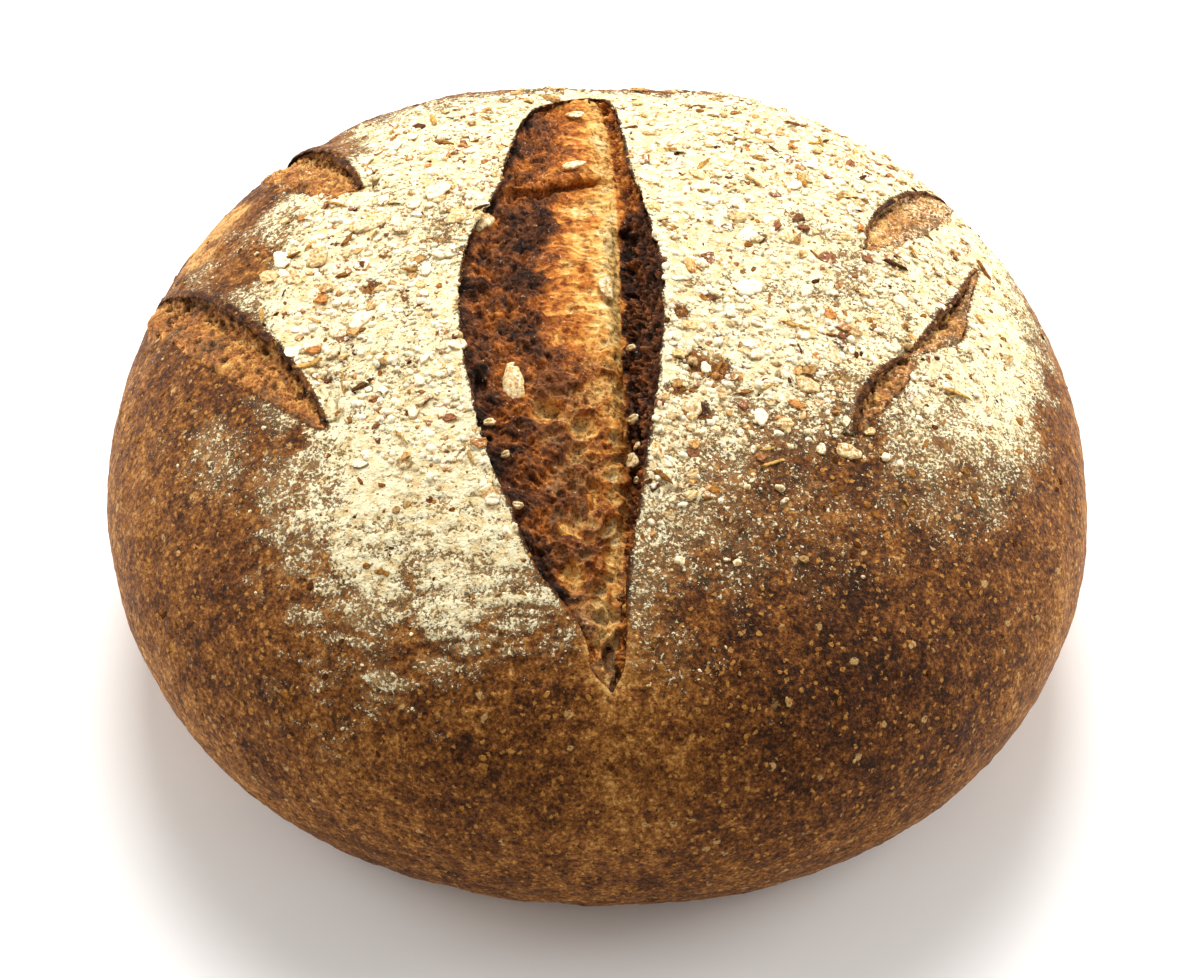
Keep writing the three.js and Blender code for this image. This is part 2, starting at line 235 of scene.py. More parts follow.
@dataclass(frozen=True)
class LoafForm:
    """The smooth loaf without its cuts: a swollen round outline under a dome, over rounded flanks."""

    mean_radius: float = 120.0
    height: float = 100.0
    waist_height: float = 39.0
    base_share: float = 0.82
    dome_roundness: float = 2.22
    flank_roundness: float = 1.75
    oval: float = -0.0089
    three_sided: float = -0.011
    four_sided: float = -0.0088
    back_dip: float = 6.0
    back_dip_width: float = 28.0
    lump_height: float = 0.35
    lump_waves: Pairs = ((9, 23), (-31, 11), (17, -15))

    def plan_radius(self, angle: np.ndarray) -> np.ndarray:
        """Radius at the waist: the mean, swollen a little two, three and four times round."""
        swell = self.oval * np.sin(2 * angle) + self.three_sided * np.sin(3 * angle)
        return self.mean_radius * (1 + swell + self.four_sided * np.cos(4 * angle))

    @cached_property
    def middle(self) -> np.ndarray:
        """Middle of the box round the waist outline, on which the loaf is centred."""
        angle = np.radians(np.arange(360))
        outline = self.plan_radius(angle)[:, None] * np.stack([np.cos(angle), np.sin(angle)], -1)
        return (outline.min(0) + outline.max(0)) / 2

    def waist(self, angle: np.ndarray) -> np.ndarray:
        """Places on the waist outline, shape (..., 2)."""
        way = np.stack([np.cos(angle), np.sin(angle)], -1)
        return self.plan_radius(angle)[..., None] * way - self.middle

    def share_out(self, place: np.ndarray) -> np.ndarray:
        """How far out a place is: 0 in the middle and 1 on the waist outline."""
        off = place + self.middle
        return np.linalg.norm(off, axis=-1) / self.plan_radius(np.arctan2(off[..., 1], off[..., 0]))

    def dome(self, place: np.ndarray) -> np.ndarray:
        """Height of the dome: a rounded-square profile, less a dip at the back and with low lumps.

        Args:
            place: places in plan, shape (..., 2).

        Returns:
            Heights, shape (...).
        """
        x, y = place[..., 0], place[..., 1]
        share = np.minimum(1, self.share_out(place))
        rise = (1 - share**self.dome_roundness) ** (1 / self.dome_roundness)
        behind = np.clip((y - 20) / 60, 0, 1)
        dip = self.back_dip * bell(x, self.back_dip_width) * behind * np.sqrt(rise)
        first, second, third = (x / across + y / lengthwise for across, lengthwise in self.lump_waves)
        lumps = np.sin(first) * np.cos(second) + np.sin(third + 1)
        smooth = self.waist_height + (self.height - self.waist_height) * rise
        return smooth - dip + self.lump_height * lumps * rise

    def over(self, place: np.ndarray, rise: np.ndarray | float = 0.0) -> np.ndarray:
        """Points over these places, this far above the dome, shape (..., 3)."""
        return np.concatenate([place, (self.dome(place) + rise)[..., None]], -1)

    def dome_normal(self, place: np.ndarray) -> np.ndarray:
        """Unit normals of the dome, from its slopes over 2 mm, shape (..., 3)."""
        step = np.array([1.0, 0.0])
        slope_x = (self.dome(place + step) - self.dome(place - step)) / 2
        slope_y = (self.dome(place + step[::-1]) - self.dome(place - step[::-1])) / 2
        normal = np.stack([-slope_x, -slope_y, np.ones_like(slope_x)], -1)
        return normal / np.linalg.norm(normal, axis=-1, keepdims=True)


FORM = LoafForm()


@dataclass(frozen=True)
class LongSlash:
    """The burst slash along the crown: its two lips from the back tip to the front tip, the line where the
    charred right wall meets the crumb, and the line where the dark left slope gives way to orange crumb."""

    left: PlanCurve = PlanCurve((
        (-2, 90), (-8, 87), (-15.2, 79.2), (-18.7, 67), (-21.5, 50), (-23.5, 36), (-30.5, 13), (-31, -12),
        (-26, -40), (-18, -63), (-13.6, -73.5), (-5, -85), (-1.8, -91), (-0.8, -95), (3.2, -98.5),
    ))
    right: PlanCurve = PlanCurve((
        (-2, 90), (2.6, 86.5), (5, 75), (6.6, 60), (8, 44), (11, 28), (15, 3), (14, -25), (10.5, -53),
        (7.6, -70), (6.3, -82), (6.4, -90), (5.2, -95.3), (3.2, -98.5),
    ))
    wall_foot: PlanCurve = PlanCurve((
        (0, 90), (2.4, 80), (3.7, 66), (5.1, 38), (5.4, 19), (5.8, -4), (6.3, -22), (6.9, -39), (7, -54),
        (6.0, -68), (5.2, -82), (3.6, -96),
    ))
    dark_edge: PlanCurve = PlanCurve((
        (-9, 90), (-9.4, 81), (-8, 67), (-8.9, 38), (-11, 19), (-12, -1), (-10, -17), (-12.8, -25),
        (-11.5, -42), (-11.4, -54), (-9.0, -66), (-4.5, -80), (1.2, -95),
    ))
    full_width: float = 30.0
    left_raise: float = 0.8
    right_raise: float = 2.2
    spread: float = 5.0

    def fullness(self, along: np.ndarray) -> np.ndarray:
        """1 where the slash is wide and less where it narrows towards its tips."""
        width = np.linalg.norm(self.left.at(along) - self.right.at(along), axis=-1)
        return np.minimum(1, width / self.full_width)

    def beside(self, place: np.ndarray) -> Arrays:
        """Where a place lies against the slash.

        Args:
            place: places in plan, shape (..., 2).

        Returns:
            Distance outside the lips (negative inside), 1 on the right of the slash and 0 on the left, and
            the fullness of the slash beside the place.
        """
        share = np.linspace(0, 1, 90)
        loop = np.concatenate([self.left.at(share), self.right.at(share)[-2:0:-1]])
        x_left, x_right = (curve.across_at(place[..., 1]) for curve in (self.left, self.right))
        side = (place[..., 0] > (x_left + x_right) / 2).astype(float)
        full = np.minimum(1, (x_right - x_left) / self.full_width)
        return -inside_distance(place, loop), side, full

    def lift(self, place: np.ndarray) -> np.ndarray:
        """How far the lips lift the crust beside them, most where the slash is wide."""
        outside, side, full = self.beside(place)
        raised = full * np.where(side > 0, self.right_raise, self.left_raise)
        return raised * np.exp(-np.maximum(outside, 0) / self.spread)


@dataclass(frozen=True)
class ShoulderCut:
    """A step cut on a shoulder: an edge that stands proud over a torn face, which runs out to the foot."""

    name: str
    edge: PlanCurve
    foot: PlanCurve
    depth: float
    lip: float
    undercut: float
    bake: float
    dust: float
    tan: float
    holes: float = 0.0
    ear_spread: float = 8.0

    def crownward(self, along: np.ndarray) -> np.ndarray:
        """Unit directions across the edge, towards the crown of the loaf, shape (..., 2)."""
        tangent = self.edge.tangent(along)
        sideways = np.stack([-tangent[..., 1], tangent[..., 0]], -1)
        inward = np.sum(sideways * self.edge.at(along), axis=-1, keepdims=True) < 0
        return np.where(inward, sideways, -sideways)

    def beside(self, place: np.ndarray, reach: float = 22.0) -> Arrays:
        """Where a place lies against the cut.

        Args:
            place: places in plan, shape (..., 2).
            reach: how far from the edge this is worked out; further off the distance is very large.

        Returns:
            Signed distance from the edge, positive towards the crown; share along the edge of the nearest
            point; and width of the torn face there.
        """
        along = np.linspace(0, 1, 121)
        spots, crownward = self.edge.at(along), self.crownward(along)
        widths = np.linalg.norm(spots - self.foot.at(along), axis=1)
        flat = place.reshape(-1, 2)
        near = np.all((flat > spots.min(0) - reach) & (flat < spots.max(0) + reach), axis=1)
        some = flat[near]
        nearest = np.argmin(((some[:, None] - spots[None]) ** 2).sum(-1), axis=1)
        off = some - spots[nearest]
        side = np.sum(off * crownward[nearest], axis=1)
        distance, share, width = np.full(len(flat), 1e3), np.zeros(len(flat)), np.ones(len(flat))
        distance[near] = np.linalg.norm(off, axis=1) * np.where(side < 0, -1, 1)
        share[near], width[near] = along[nearest], widths[nearest]
        return tuple(values.reshape(place.shape[:-1]) for values in (distance, share, width))

    def torn(self, place: np.ndarray) -> np.ndarray:
        """1 on the torn face, fading to 0 within a millimetre outside it."""
        distance, along, width = self.beside(place)
        ends = ramp(along, 0.0, 0.03) * ramp(along, 1.0, 0.97)
        return ramp(distance, 1.0, 0.0) * ramp(distance, -width - 1.0, -width) * ends


SLASH = LongSlash()
CUTS = (
    ShoulderCut(
        "left_front_cut",
        PlanCurve(((-112, 40), (-107, 31), (-91, 13), (-81.5, 1), (-72, -12), (-65, -24.5), (-60, -37))),
        PlanCurve(((-113, 38), (-109, 18), (-99, 2.5), (-89, -10.5), (-80, -20), (-71, -28), (-61, -37))),
        depth=5.0, lip=1.6, undercut=1.4, bake=0.6, dust=0.0, tan=0.2, holes=1.0,
    ),
    ShoulderCut(
        "left_back_cut",
        PlanCurve(((-83, 86), (-75, 77), (-66, 64), (-60, 51), (-56.5, 41))),
        PlanCurve(((-88, 83), (-84, 66), (-74, 49.5), (-66, 40.5), (-57, 39))),
        depth=4.5, lip=2.2, undercut=1.4, bake=0.54, dust=0.1, tan=0.2,
    ),
    ShoulderCut(
        "right_back_cut",
        PlanCurve(((90, 63), (82, 56.3), (76.5, 49.7), (70.2, 40.2), (65.5, 30), (64, 19.5))),
        PlanCurve(((91, 61.5), (87, 48), (80, 35), (72, 24.5), (65, 18.5))),
        depth=3.0, lip=0.8, undercut=0.3, bake=0.52, dust=0.35, tan=0.4,
    ),
    ShoulderCut(
        "right_front_cut",
        PlanCurve((
            (93, 30), (89, 20.3), (85.8, 12.2), (81.2, 4.4), (77.8, -1.8), (75.4, -6.5), (71.5, -12.3),
        )),
        PlanCurve(((93.5, 30), (90, 17.8), (87.8, 9.1), (85.8, -0.4), (82, -6), (72, -13))),
        depth=4.0, lip=0.9, undercut=0.5, bake=0.58, dust=0.3, tan=0.35,
    ),
    ShoulderCut(
        "right_front_tear",
        PlanCurve(((72.5, -12.5), (68, -16), (63.6, -21.7), (61, -26), (58.9, -31.5), (57.5, -40))),
        PlanCurve(((73.5, -13.5), (72, -18), (69.5, -23), (65.5, -29), (62, -35), (58.5, -40))),
        depth=3.5, lip=1.2, undercut=0.5, bake=0.64, dust=0.2, tan=0.3,
    ),
)


def cut_fullness(along: np.ndarray) -> np.ndarray:
    """How deep and proud a shoulder cut is along its edge: full in the middle, nothing at its ends."""
    return np.sin(np.pi * np.clip(along, 0, 1)) ** 0.6


# --- where the flour lies, and the crust's own relief -----------------


@dataclass(frozen=True)
class FlourCoat:
    """The dusting of flour: an outline in plan with a soft, speckled edge, and some bare or thin places."""

    outline: Pairs = (
        (-68, -86), (-47, -97), (-24, -98), (-7, -90), (9, -85), (22, -78), (42, -66), (62, -56), (84, -48),
        (100, -31), (107, -6), (111, 18), (106, 48), (88, 76), (58, 94), (25, 98), (-5, 99), (-37, 92),
        (-60, 84), (-65, 72), (-67, 60), (-76, 56), (-85, 48), (-86, 34), (-82, 22), (-88, 9), (-88, -4),
        (-84, -16), (-76, -28), (-71, -40), (-73, -57), (-71, -70),
    )
    fade: float = 10.0
    left_fade: float = 15.0
    right_fade: float = 30.0
    bare_spots: tuple[Triple, ...] = (
        (22, -22.5, 3.6), (27.5, -24.5, 3.2), (26.7, -3.3, 1.8), (19.3, -9, 2.4), (15.5, 6, 1.8),
        (23.5, -36.3, 2.6), (18.5, -31, 2.6), (-67.8, -37.3, 4.0), (-53, 4, 3.2), (48.2, -26.4, 2.6),
        (-85.5, 24, 4.0), (38.5, 18.4, 1.6),
    )
    thin_places: Pairs = (
        (60, 0), (70, 8), (-30, 20), (45, 40), (54, -40), (42, -50), (27, -54), (-45, -78), (-30, -84),
    )
    dusted_places: Pairs = ((-98, 30), (-92, -28), (-84, -40), (-97, 12))
    thinning: float = 0.2
    thin_radius: float = 15.0
    dusting: float = 0.3
    dusted_radius: float = 10.0
    wrinkling: float = 0.45
    brow_width: float = 1.3
    brow_bareness: float = 0.45
    lowest: Pair = (38.0, 58.0)

    def density(self, points: np.ndarray) -> np.ndarray:
        """How much flour lies on a place of the dome: 0 for none, 0.5 for half covered, above 1 for thick.

        Args:
            points: shape (..., 3).

        Returns:
            Densities, shape (...).
        """
        place = points[..., :2]
        loop = PlanCurve((*self.outline, self.outline[0]), steps=6).at(np.linspace(0, 1, 181))[:-1]
        wander = 5 * layered_noise(points, 20, SEED + 1) + 2.5 * soft_noise(points, 6, SEED + 18)
        inside = inside_distance(place, loop) + wander
        x, y = place[..., 0], place[..., 1]
        fade = self.fade + (self.left_fade - self.fade) * ramp(y, -30, -60)
        fade = fade + (self.right_fade - fade) * ramp(y, 10, -30) * ramp(x, -5, 15) * ramp(x, 100, 74)
        density = 1.1 * np.clip((inside + 0.6 * fade) / (2 * fade), 0, 1)
        density = density + 0.35 * ramp(y, 20, 80) * ramp(inside, 0, 20)
        broken = 1 - 0.5 * ramp(y, -20, -50)
        density -= 0.35 * ramp(layered_noise(points, 12, SEED + 2), -0.1, 0.8) * ramp(y, 90, 40) * broken
        density -= 0.3 * ramp(layered_noise(points, 4.5, SEED + 3), 0.0, 0.8) * broken
        for spot_x, spot_y in self.thin_places:
            away = (x - spot_x) ** 2 + (y - spot_y) ** 2
            density -= self.thinning * np.exp(-away / self.thin_radius**2)
        for spot_x, spot_y in self.dusted_places:
            away = (x - spot_x) ** 2 + (y - spot_y) ** 2
            density += self.dusting * np.exp(-away / self.dusted_radius**2)
        density -= self.streaks(points) * self.wrinkling
        for spot_x, spot_y, radius in self.bare_spots:
            gap = np.hypot(x - spot_x, y - spot_y) + 0.9 * soft_noise(points, 2.5, SEED + 4)
            density = density * (0.05 + 0.95 * ramp(gap, radius * 0.5, radius * 1.3))
        outside, _, _ = SLASH.beside(place)
        rim = 0.3 + 0.4 * soft_noise(points, 2.2, SEED + 12)
        density = density * ramp(outside, rim - 0.2, rim + 0.5)
        for cut in CUTS:
            distance, along, _ = cut.beside(place)
            brow = bell(np.maximum(distance, 0), self.brow_width) * cut_fullness(along) * (distance > -0.5)
            density = density * (1 - self.brow_bareness * brow) * (1 - cut.torn(place))
        return np.clip(density * ramp(points[..., 2], *self.lowest), 0, 1.5)

    def streaks(self, points: np.ndarray) -> np.ndarray:
        """Thin level wrinkles on the front left shoulder where the flour has come away, from 0 to 1."""
        zone = ramp(points[..., 0], 2, -14) * ramp(points[..., 1], -42, -60)
        return zone * ridged_noise(points, (16, 4.5, 3.2), SEED + 13, 2)


@dataclass(frozen=True)
class CrustSkin:
    """What covers the smooth form: the lips' lift, lumps, clots of topping, and how dark it is baked,
    painted shade and light included.
    """

    topping_middle: Pair = (10, 18)
    topping_radius: float = 82.0
    pale_patches: tuple[tuple[float, float, float, float], ...] = (
        (-95, 51, 11, 0.75), (-99, 38, 8, 0.75), (8, -106, 20, 0.25),
    )
    middle_bake: float = 0.5
    side_rim_light: float = 0.16
    base_paleness_and_reflection: float = 0.16
    front_right_bake: float = 0.1
    lip_bake_and_shadow: float = 0.5
    tip_paleness: float = 0.45

    def topped(self, points: np.ndarray) -> np.ndarray:
        """1 in the round patch that carries most of the bran and oats, 0 well outside it."""
        x, y = self.topping_middle
        gap = np.hypot(points[..., 0] - x, points[..., 1] - y) + 8 * soft_noise(points, 15, SEED + 14)
        return ramp(gap, self.topping_radius + 14, self.topping_radius - 10) * ramp(points[..., 2], 40, 60)

    def relief(self, points: np.ndarray) -> Arrays:
        """Unevenness of the crust along its normal.

        Args:
            points: shape (..., 3).

        Returns:
            Offsets in millimetres, and how much of a lump each place is, from -1 to 1.
        """
        topped = self.topped(points)
        broad = 0.4 * layered_noise(points, 12, SEED + 5)
        grain = layered_noise(points, 2.6, SEED + 6, 2)
        near, _, who = cell_noise(points, 3.1, SEED + 7)
        clots = ramp(near, 0.55, 0.2) * ramp(who, 0.4, 0.62)
        offset = broad + (0.2 + 0.2 * topped) * grain + 0.5 * topped * clots
        offset -= 0.3 * FLOUR.streaks(points)
        return offset, np.clip(grain * 0.8 + clots * topped, -1, 1)

    def lift(self, place: np.ndarray) -> np.ndarray:
        """How far the lips of the slash and of the shoulder cuts lift the crust beside them."""
        lift = SLASH.lift(place)
        for cut in CUTS:
            distance, along, _ = cut.beside(place)
            towards = np.clip(1 - distance / cut.ear_spread, 0, 1) ** 1.5 * (distance > -0.9)
            lift = lift + cut.lip * cut_fullness(along) * towards
        return lift

    def recess(self, place: np.ndarray) -> np.ndarray:
        """How far the crust is sunk below the shoulder cuts' torn faces, so that these hide it."""
        depth = np.zeros(place.shape[:-1])
        for cut in CUTS:
            distance, along, width = cut.beside(place)
            start = cut.undercut + 2.0
            out = np.clip((start - distance) / (width + start + 1e-6), 0, 1)
            floor = cut.depth * (1 - out) ** 1.1 + 1.5 * np.minimum(1, 7 * (1 - out))
            depth = np.maximum(depth, floor * cut_fullness(along) * ramp(distance, start + 1.5, start))
        return depth

    def bake(self, points: np.ndarray) -> np.ndarray:
        """How dark the crust is baked, from 0 to 1: dark on lips and shoulders, paler towards the base,
        with painted shadow, reflection and rim light in it.
        """
        place, x, y, height = points[..., :2], points[..., 0], points[..., 1], points[..., 2]
        # Paler towards the base: partly flour dust, partly painted reflection of the pale table.
        bake = self.middle_bake + 0.1 * ramp(height, 35, 80) - self.base_paleness_and_reflection * ramp(height, 24, 4)
        bake = bake + 0.15 * layered_noise(points, 26, SEED + 11)
        bake = bake + 0.1 * layered_noise(points, 8, SEED + 15)
        for spot_x, spot_y, radius, weight in self.pale_patches:
            gap = np.hypot(x - spot_x, y - spot_y) + 3 * soft_noise(points, 6, SEED + 19)
            bake = bake - weight * ramp(gap, radius, radius * 0.3) * ramp(height, 35, 50)
        # Paler at the far sides: painted rim light along the silhouettes.
        bake = bake - self.side_rim_light * ramp(np.abs(x), 78, 108) * ramp(height, 75, 50)
        bake = bake + self.front_right_bake * ramp(x, 5, 40) * ramp(x, 105, 80) * ramp(y, -15, -55)
        outside, _, _ = SLASH.beside(place)
        outside = np.maximum(outside, 0)
        tip, tail = ramp(y, -78, -90) * (height > 50), ramp(y, 80, 87)
        # A dark band along the lips: partly their darker bake, partly a painted shadow line at their edges.
        bake = bake + self.lip_bake_and_shadow * np.exp(-outside / 0.8) * (height > 50) * (1 - tip) * (1 - tail)
        bake = bake - self.tip_paleness * bell(outside, 2.4) * tip
        for cut in CUTS:
            distance, along, width = cut.beside(place)
            full = cut_fullness(along)
            bake = bake + 0.3 * np.exp(-np.abs(distance) / 1.2) * full
            bake = bake + 0.25 * np.exp(-np.abs(distance + width + 3) / 3.5) * full * cut.bake
        return np.clip(bake, 0, 1)


FLOUR = FlourCoat()
SKIN = CrustSkin()


# --- meshes -----------------------------------------------------------


def linked(name: str, data: bpy.types.ID) -> bpy.types.Object:
    """A new object of this name, in the scene."""
    made = bpy.data.objects.new(name, data)
    bpy.context.scene.collection.objects.link(made)
    return made


@dataclass
class Surface:
    """Points and faces of one closed piece, with the numbers and colours its finish reads at each point."""

    points: np.ndarray
    faces: np.ndarray
    numbers: dict[str, np.ndarray] = field(default_factory=dict)
    tints: dict[str, np.ndarray] = field(default_factory=dict)
    smooth: bool = True

    def to_object(self, name: str, material: bpy.types.Material, slot: str) -> bpy.types.Object:
        """Puts the surface into a mesh that rides on the loaf's body.

        Args:
            name: the piece's name.
            material: its finish.
            slot: the record's material slot; not used.

        Returns:
            The new object, at the origin.
        """
        mesh = bpy.data.meshes.new(name)
        count, width = self.faces.shape
        mesh.vertices.add(len(self.points))
        mesh.vertices.foreach_set("co", (self.points * MM).astype(np.float32).ravel())
        mesh.loops.add(count * width)
        mesh.loops.foreach_set("vertex_index", self.faces.astype(np.int32).ravel())
        mesh.polygons.add(count)
        mesh.polygons.foreach_set("loop_start", np.arange(0, count * width, width, dtype=np.int32))
        mesh.polygons.foreach_set("loop_total", np.full(count, width, np.int32))
        mesh.polygons.foreach_set("use_smooth", np.full(count, self.smooth))
        mesh.update(calc_edges=True)
        for key, values in self.numbers.items():
            layer = mesh.attributes.new(key, "FLOAT", "POINT")
            layer.data.foreach_set("value", values.astype(np.float32).ravel())
        for key, values in self.tints.items():
            layer = mesh.attributes.new(key, "FLOAT_COLOR", "POINT")
            colour = np.concatenate([values, np.ones((len(values), 1))], 1)
            layer.data.foreach_set("color", colour.astype(np.float32).ravel())
        mesh.validate()
        mesh.materials.append(material)
        piece = linked(name, mesh)
        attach(piece, BODY)
        LOG.info("%s: %d points, %d faces", name, len(self.points), count)
        return piece


def grid_faces(rows: int, columns: int, loops_round: bool) -> np.ndarray:
    """Triangles over a grid of points, two to each square.

    Args:
        rows: points one way.
        columns: points the other way.
        loops_round: whether the last column joins the first.

    Returns:
        Point numbers, shape (faces, 3), facing by the right hand from rows to columns.
    """
    spans = columns if loops_round else columns - 1
    row, column = np.meshgrid(np.arange(rows - 1), np.arange(spans), indexing="ij")
    a = row * columns + column
    b = a + columns
    c = (row + 1) * columns + (column + 1) % columns
    d = row * columns + (column + 1) % columns
    return np.concatenate([np.stack([a, b, c], -1).reshape(-1, 3), np.stack([a, c, d], -1).reshape(-1, 3)])


def grid_normals(grid: np.ndarray, loops_round: bool) -> np.ndarray:
    """Unit normals of a grid of points, all on the side that mostly faces up, shape (rows, columns, 3)."""
    if loops_round:
        across = np.roll(grid, -1, axis=1) - np.roll(grid, 1, axis=1)
    else:
        across = np.gradient(grid, axis=1)
    normal = np.cross(np.gradient(grid, axis=0), across)
    normal /= np.linalg.norm(normal, axis=-1, keepdims=True) + 1e-9
    return normal * np.sign(normal[..., 2].mean())


def facing_out(points: np.ndarray, faces: np.ndarray) -> np.ndarray:
    """The same triangles, all turned round if the volume that they enclose comes out negative."""
    a, b, c = (points[faces[:, k]] for k in range(3))
    volume = np.einsum("ij,ij->i", a, np.cross(b, c)).sum()
    return faces if volume > 0 else faces[:, ::-1]


def fan(start: int, columns: int, middle: int) -> np.ndarray:
    """Triangles from each edge of a loop of points, which is numbered on from start, to a middle point."""
    span = np.arange(columns)
    return np.stack([start + span, start + (span + 1) % columns, np.full(columns, middle)], -1)


def tube_faces(rows: int, columns: int) -> np.ndarray:
    """Triangles of a tube of loops with a fan at each end, to two middle points numbered last."""
    start, end = fan(0, columns, rows * columns), fan((rows - 1) * columns, columns, rows * columns + 1)
    return np.concatenate([grid_faces(rows, columns, True), start, end[:, ::-1]])


def closed_loops(loops: np.ndarray) -> Arrays:
    """A tube of loops, shape (rows, columns, 3), closed at both ends: its points and its triangles."""
    points = np.concatenate([loops.reshape(-1, 3), loops[[0, -1]].mean(1)])
    return points, facing_out(points, tube_faces(*loops.shape[:2]))


def skirted(grid: np.ndarray, under: float = 1.5) -> np.ndarray:
    """A strip's rows made into loops: both ends of each drop straight down to under its lowest point."""
    feet = grid[:, [-1, 0]].copy()
    feet[:, :, 2] = grid[:, :, 2].min(axis=1)[:, None] - under
    return np.concatenate([grid, feet], axis=1)


def skirt_filled(values: np.ndarray, filling: float) -> np.ndarray:
    """A strip's numbers for its closed loops, with one filling for the skirt and both ends."""
    return np.append(np.pad(values, ((0, 0), (0, 2)), constant_values=filling).ravel(), (filling, filling))


# --- finishes ---------------------------------------------------------


def linear(red: float, green: float, blue: float) -> Colour:
    """A colour given as 0 to 255 on a screen, as the linear values that a shader takes."""
    values = [c / 255 for c in (red, green, blue)]
    return (*[v / 12.92 if v <= 0.04045 else ((v + 0.055) / 1.055) ** 2.4 for v in values], 1.0)


class Kind(Enum):
    """Shader nodes that the finishes are made of."""

    COORDINATE = "ShaderNodeTexCoord"
    ATTRIBUTE = "ShaderNodeAttribute"
    NOISE = "ShaderNodeTexNoise"
    CELLS = "ShaderNodeTexVoronoi"
    RAMP = "ShaderNodeValToRGB"
    MIX = "ShaderNodeMix"
    MATH = "ShaderNodeMath"
    VECTOR_MATH = "ShaderNodeVectorMath"
    RANGE = "ShaderNodeMapRange"
    BUMP = "ShaderNodeBump"
    GEOMETRY = "ShaderNodeNewGeometry"
    SPLIT = "ShaderNodeSeparateXYZ"
    MAPPING = "ShaderNodeMapping"


@dataclass
class Recipe:
    """A material being put together: short calls for the nodes that the finishes share."""

    name: str
    material: bpy.types.Material = field(init=False)
    tree: bpy.types.NodeTree = field(init=False)
    shader: bpy.types.Node = field(init=False)
    place: Socket = field(init=False)

    def __post_init__(self) -> None:
        """Makes the empty material with its shader."""
        self.material = bpy.data.materials.new(self.name)
        self.material.use_nodes = True
        self.tree = self.material.node_tree
        self.shader = self.tree.nodes["Principled BSDF"]
        self.place = self.add(Kind.COORDINATE).outputs["Object"]

    def add(self, kind: Kind, **inputs: object) -> bpy.types.Node:
        """A new node of this kind, with these inputs joined or set, where _ stands for a space."""
        node = self.tree.nodes.new(kind.value)
        for key, source in inputs.items():
            self.join(source, node.inputs[key.replace("_", " ")])
        return node

    def join(self, source: object, target: Socket) -> None:
        """Links a socket to an input, or sets the input where the source is a number or colour."""
        if isinstance(source, Socket):
            self.tree.links.new(source, target)
        else:
            target.default_value = source

    def stretched(self, stretch: Triple) -> Socket:
        """Object coordinates with each direction multiplied."""
        return self.add(Kind.MAPPING, Scale=stretch, Vector=self.place).outputs["Vector"]

    def ragged(self, size: float, amount: float) -> Socket:
        """Object coordinates pushed about by noise of this size, by up to about this many millimetres."""
        node = self.add(Kind.NOISE, Scale=1 / (size * MM), Vector=self.place)
        scaled = self.add(Kind.VECTOR_MATH)
        scaled.operation = "MULTIPLY_ADD"
        self.join(node.outputs["Color"], scaled.inputs[0])
        scaled.inputs[1].default_value = (2 * amount * MM,) * 3
        self.join(self.place, scaled.inputs[2])
        return scaled.outputs["Vector"]

    def noise(self, size: float, rough: float, where: Socket | None = None, detail: float = 3) -> Socket:
        """Noise with features of about half this size in millimetres, from 0 to 1."""
        where = self.place if where is None else where
        node = self.add(Kind.NOISE, Scale=1 / (size * MM), Detail=detail, Roughness=rough, Vector=where)
        return node.outputs["Fac"]

    def spots(self, size: float, radius: float, share: float, where: Socket) -> Socket:
        """Round spots of this radius in millimetres, one in each chosen cell of this size.

        Args:
            size: cell size.
            radius: radius of a spot.
            share: share of the cells that have one.
            where: coordinates, which are ragged to make the spots irregular.

        Returns:
            1 in a spot, 0 elsewhere.
        """
        node = self.add(Kind.CELLS, Scale=1 / (size * MM), Vector=where)
        edge = radius / size
        inside = self.climb(node.outputs["Distance"], edge * 1.15, edge * 0.75)
        chosen = self.climb(node.outputs["Color"], 1.0 - share, 1.0 - share + 0.03)
        return self.maths("MULTIPLY", inside, chosen)

    def number(self, name: str, output: str = "Fac") -> Socket:
        """A number kept at each point of the mesh."""
        node = self.add(Kind.ATTRIBUTE)
        node.attribute_name = name
        return node.outputs[output]

    def tint(self) -> Socket:
        """The colour kept at each point of the mesh."""
        return self.number("tint", "Color")

    def maths(self, operation: str, *values: object) -> Socket:
        """The result of one arithmetic step on numbers or sockets."""
        node = self.add(Kind.MATH)
        node.operation = operation
        for value, target in zip(values, node.inputs):
            self.join(value, target)
        return node.outputs[0]

    def weighted(self, *parts: tuple[object, float]) -> Socket:
        """Sum of sockets, each multiplied by its weight."""
        total: object = 0.0
        for socket, weight in parts:
            total = self.maths("MULTIPLY_ADD", socket, weight, total)
        return total

    def climb(self, value: object, low: float, high: float, start: float = 0.0, end: float = 1.0) -> Socket:
        """A smooth step of value from start, below low, to end, above high."""
        if low > high:
            low, high, start, end = high, low, end, start
        node = self.add(Kind.RANGE, From_Min=low, From_Max=high, To_Min=start, To_Max=end, Value=value)
        node.interpolation_type = "SMOOTHSTEP"
        return node.outputs["Result"]

    def blend(self, share: object, low: object, high: object, mode: str = "MIX") -> Socket:
        """A colour between low and high, by share."""
        node = self.add(Kind.MIX)
        node.data_type = "RGBA"
        node.blend_type = mode
        self.join(share, node.inputs["Factor"])
        self.join(low, node.inputs["A"])
        self.join(high, node.inputs["B"])
        return node.outputs["Result"]

    def colours(self, value: object, stops: Stops) -> Socket:
        """A colour looked up along the stops."""
        node = self.add(Kind.RAMP, Fac=value)
        elements = node.color_ramp.elements
        while len(elements) < len(stops):
            elements.new(0.5)
        for element, (place, colour) in zip(elements, stops):
            element.position = place
            element.color = colour
        return node.outputs["Color"]

    def bump(self, height: object, depth: float, strength: float = 1.0) -> Socket:
        """A normal bumped by a height, depth millimetres from its low to its high."""
        node = self.add(Kind.BUMP, Strength=strength, Distance=depth * MM, Height=height)
        return node.outputs["Normal"]

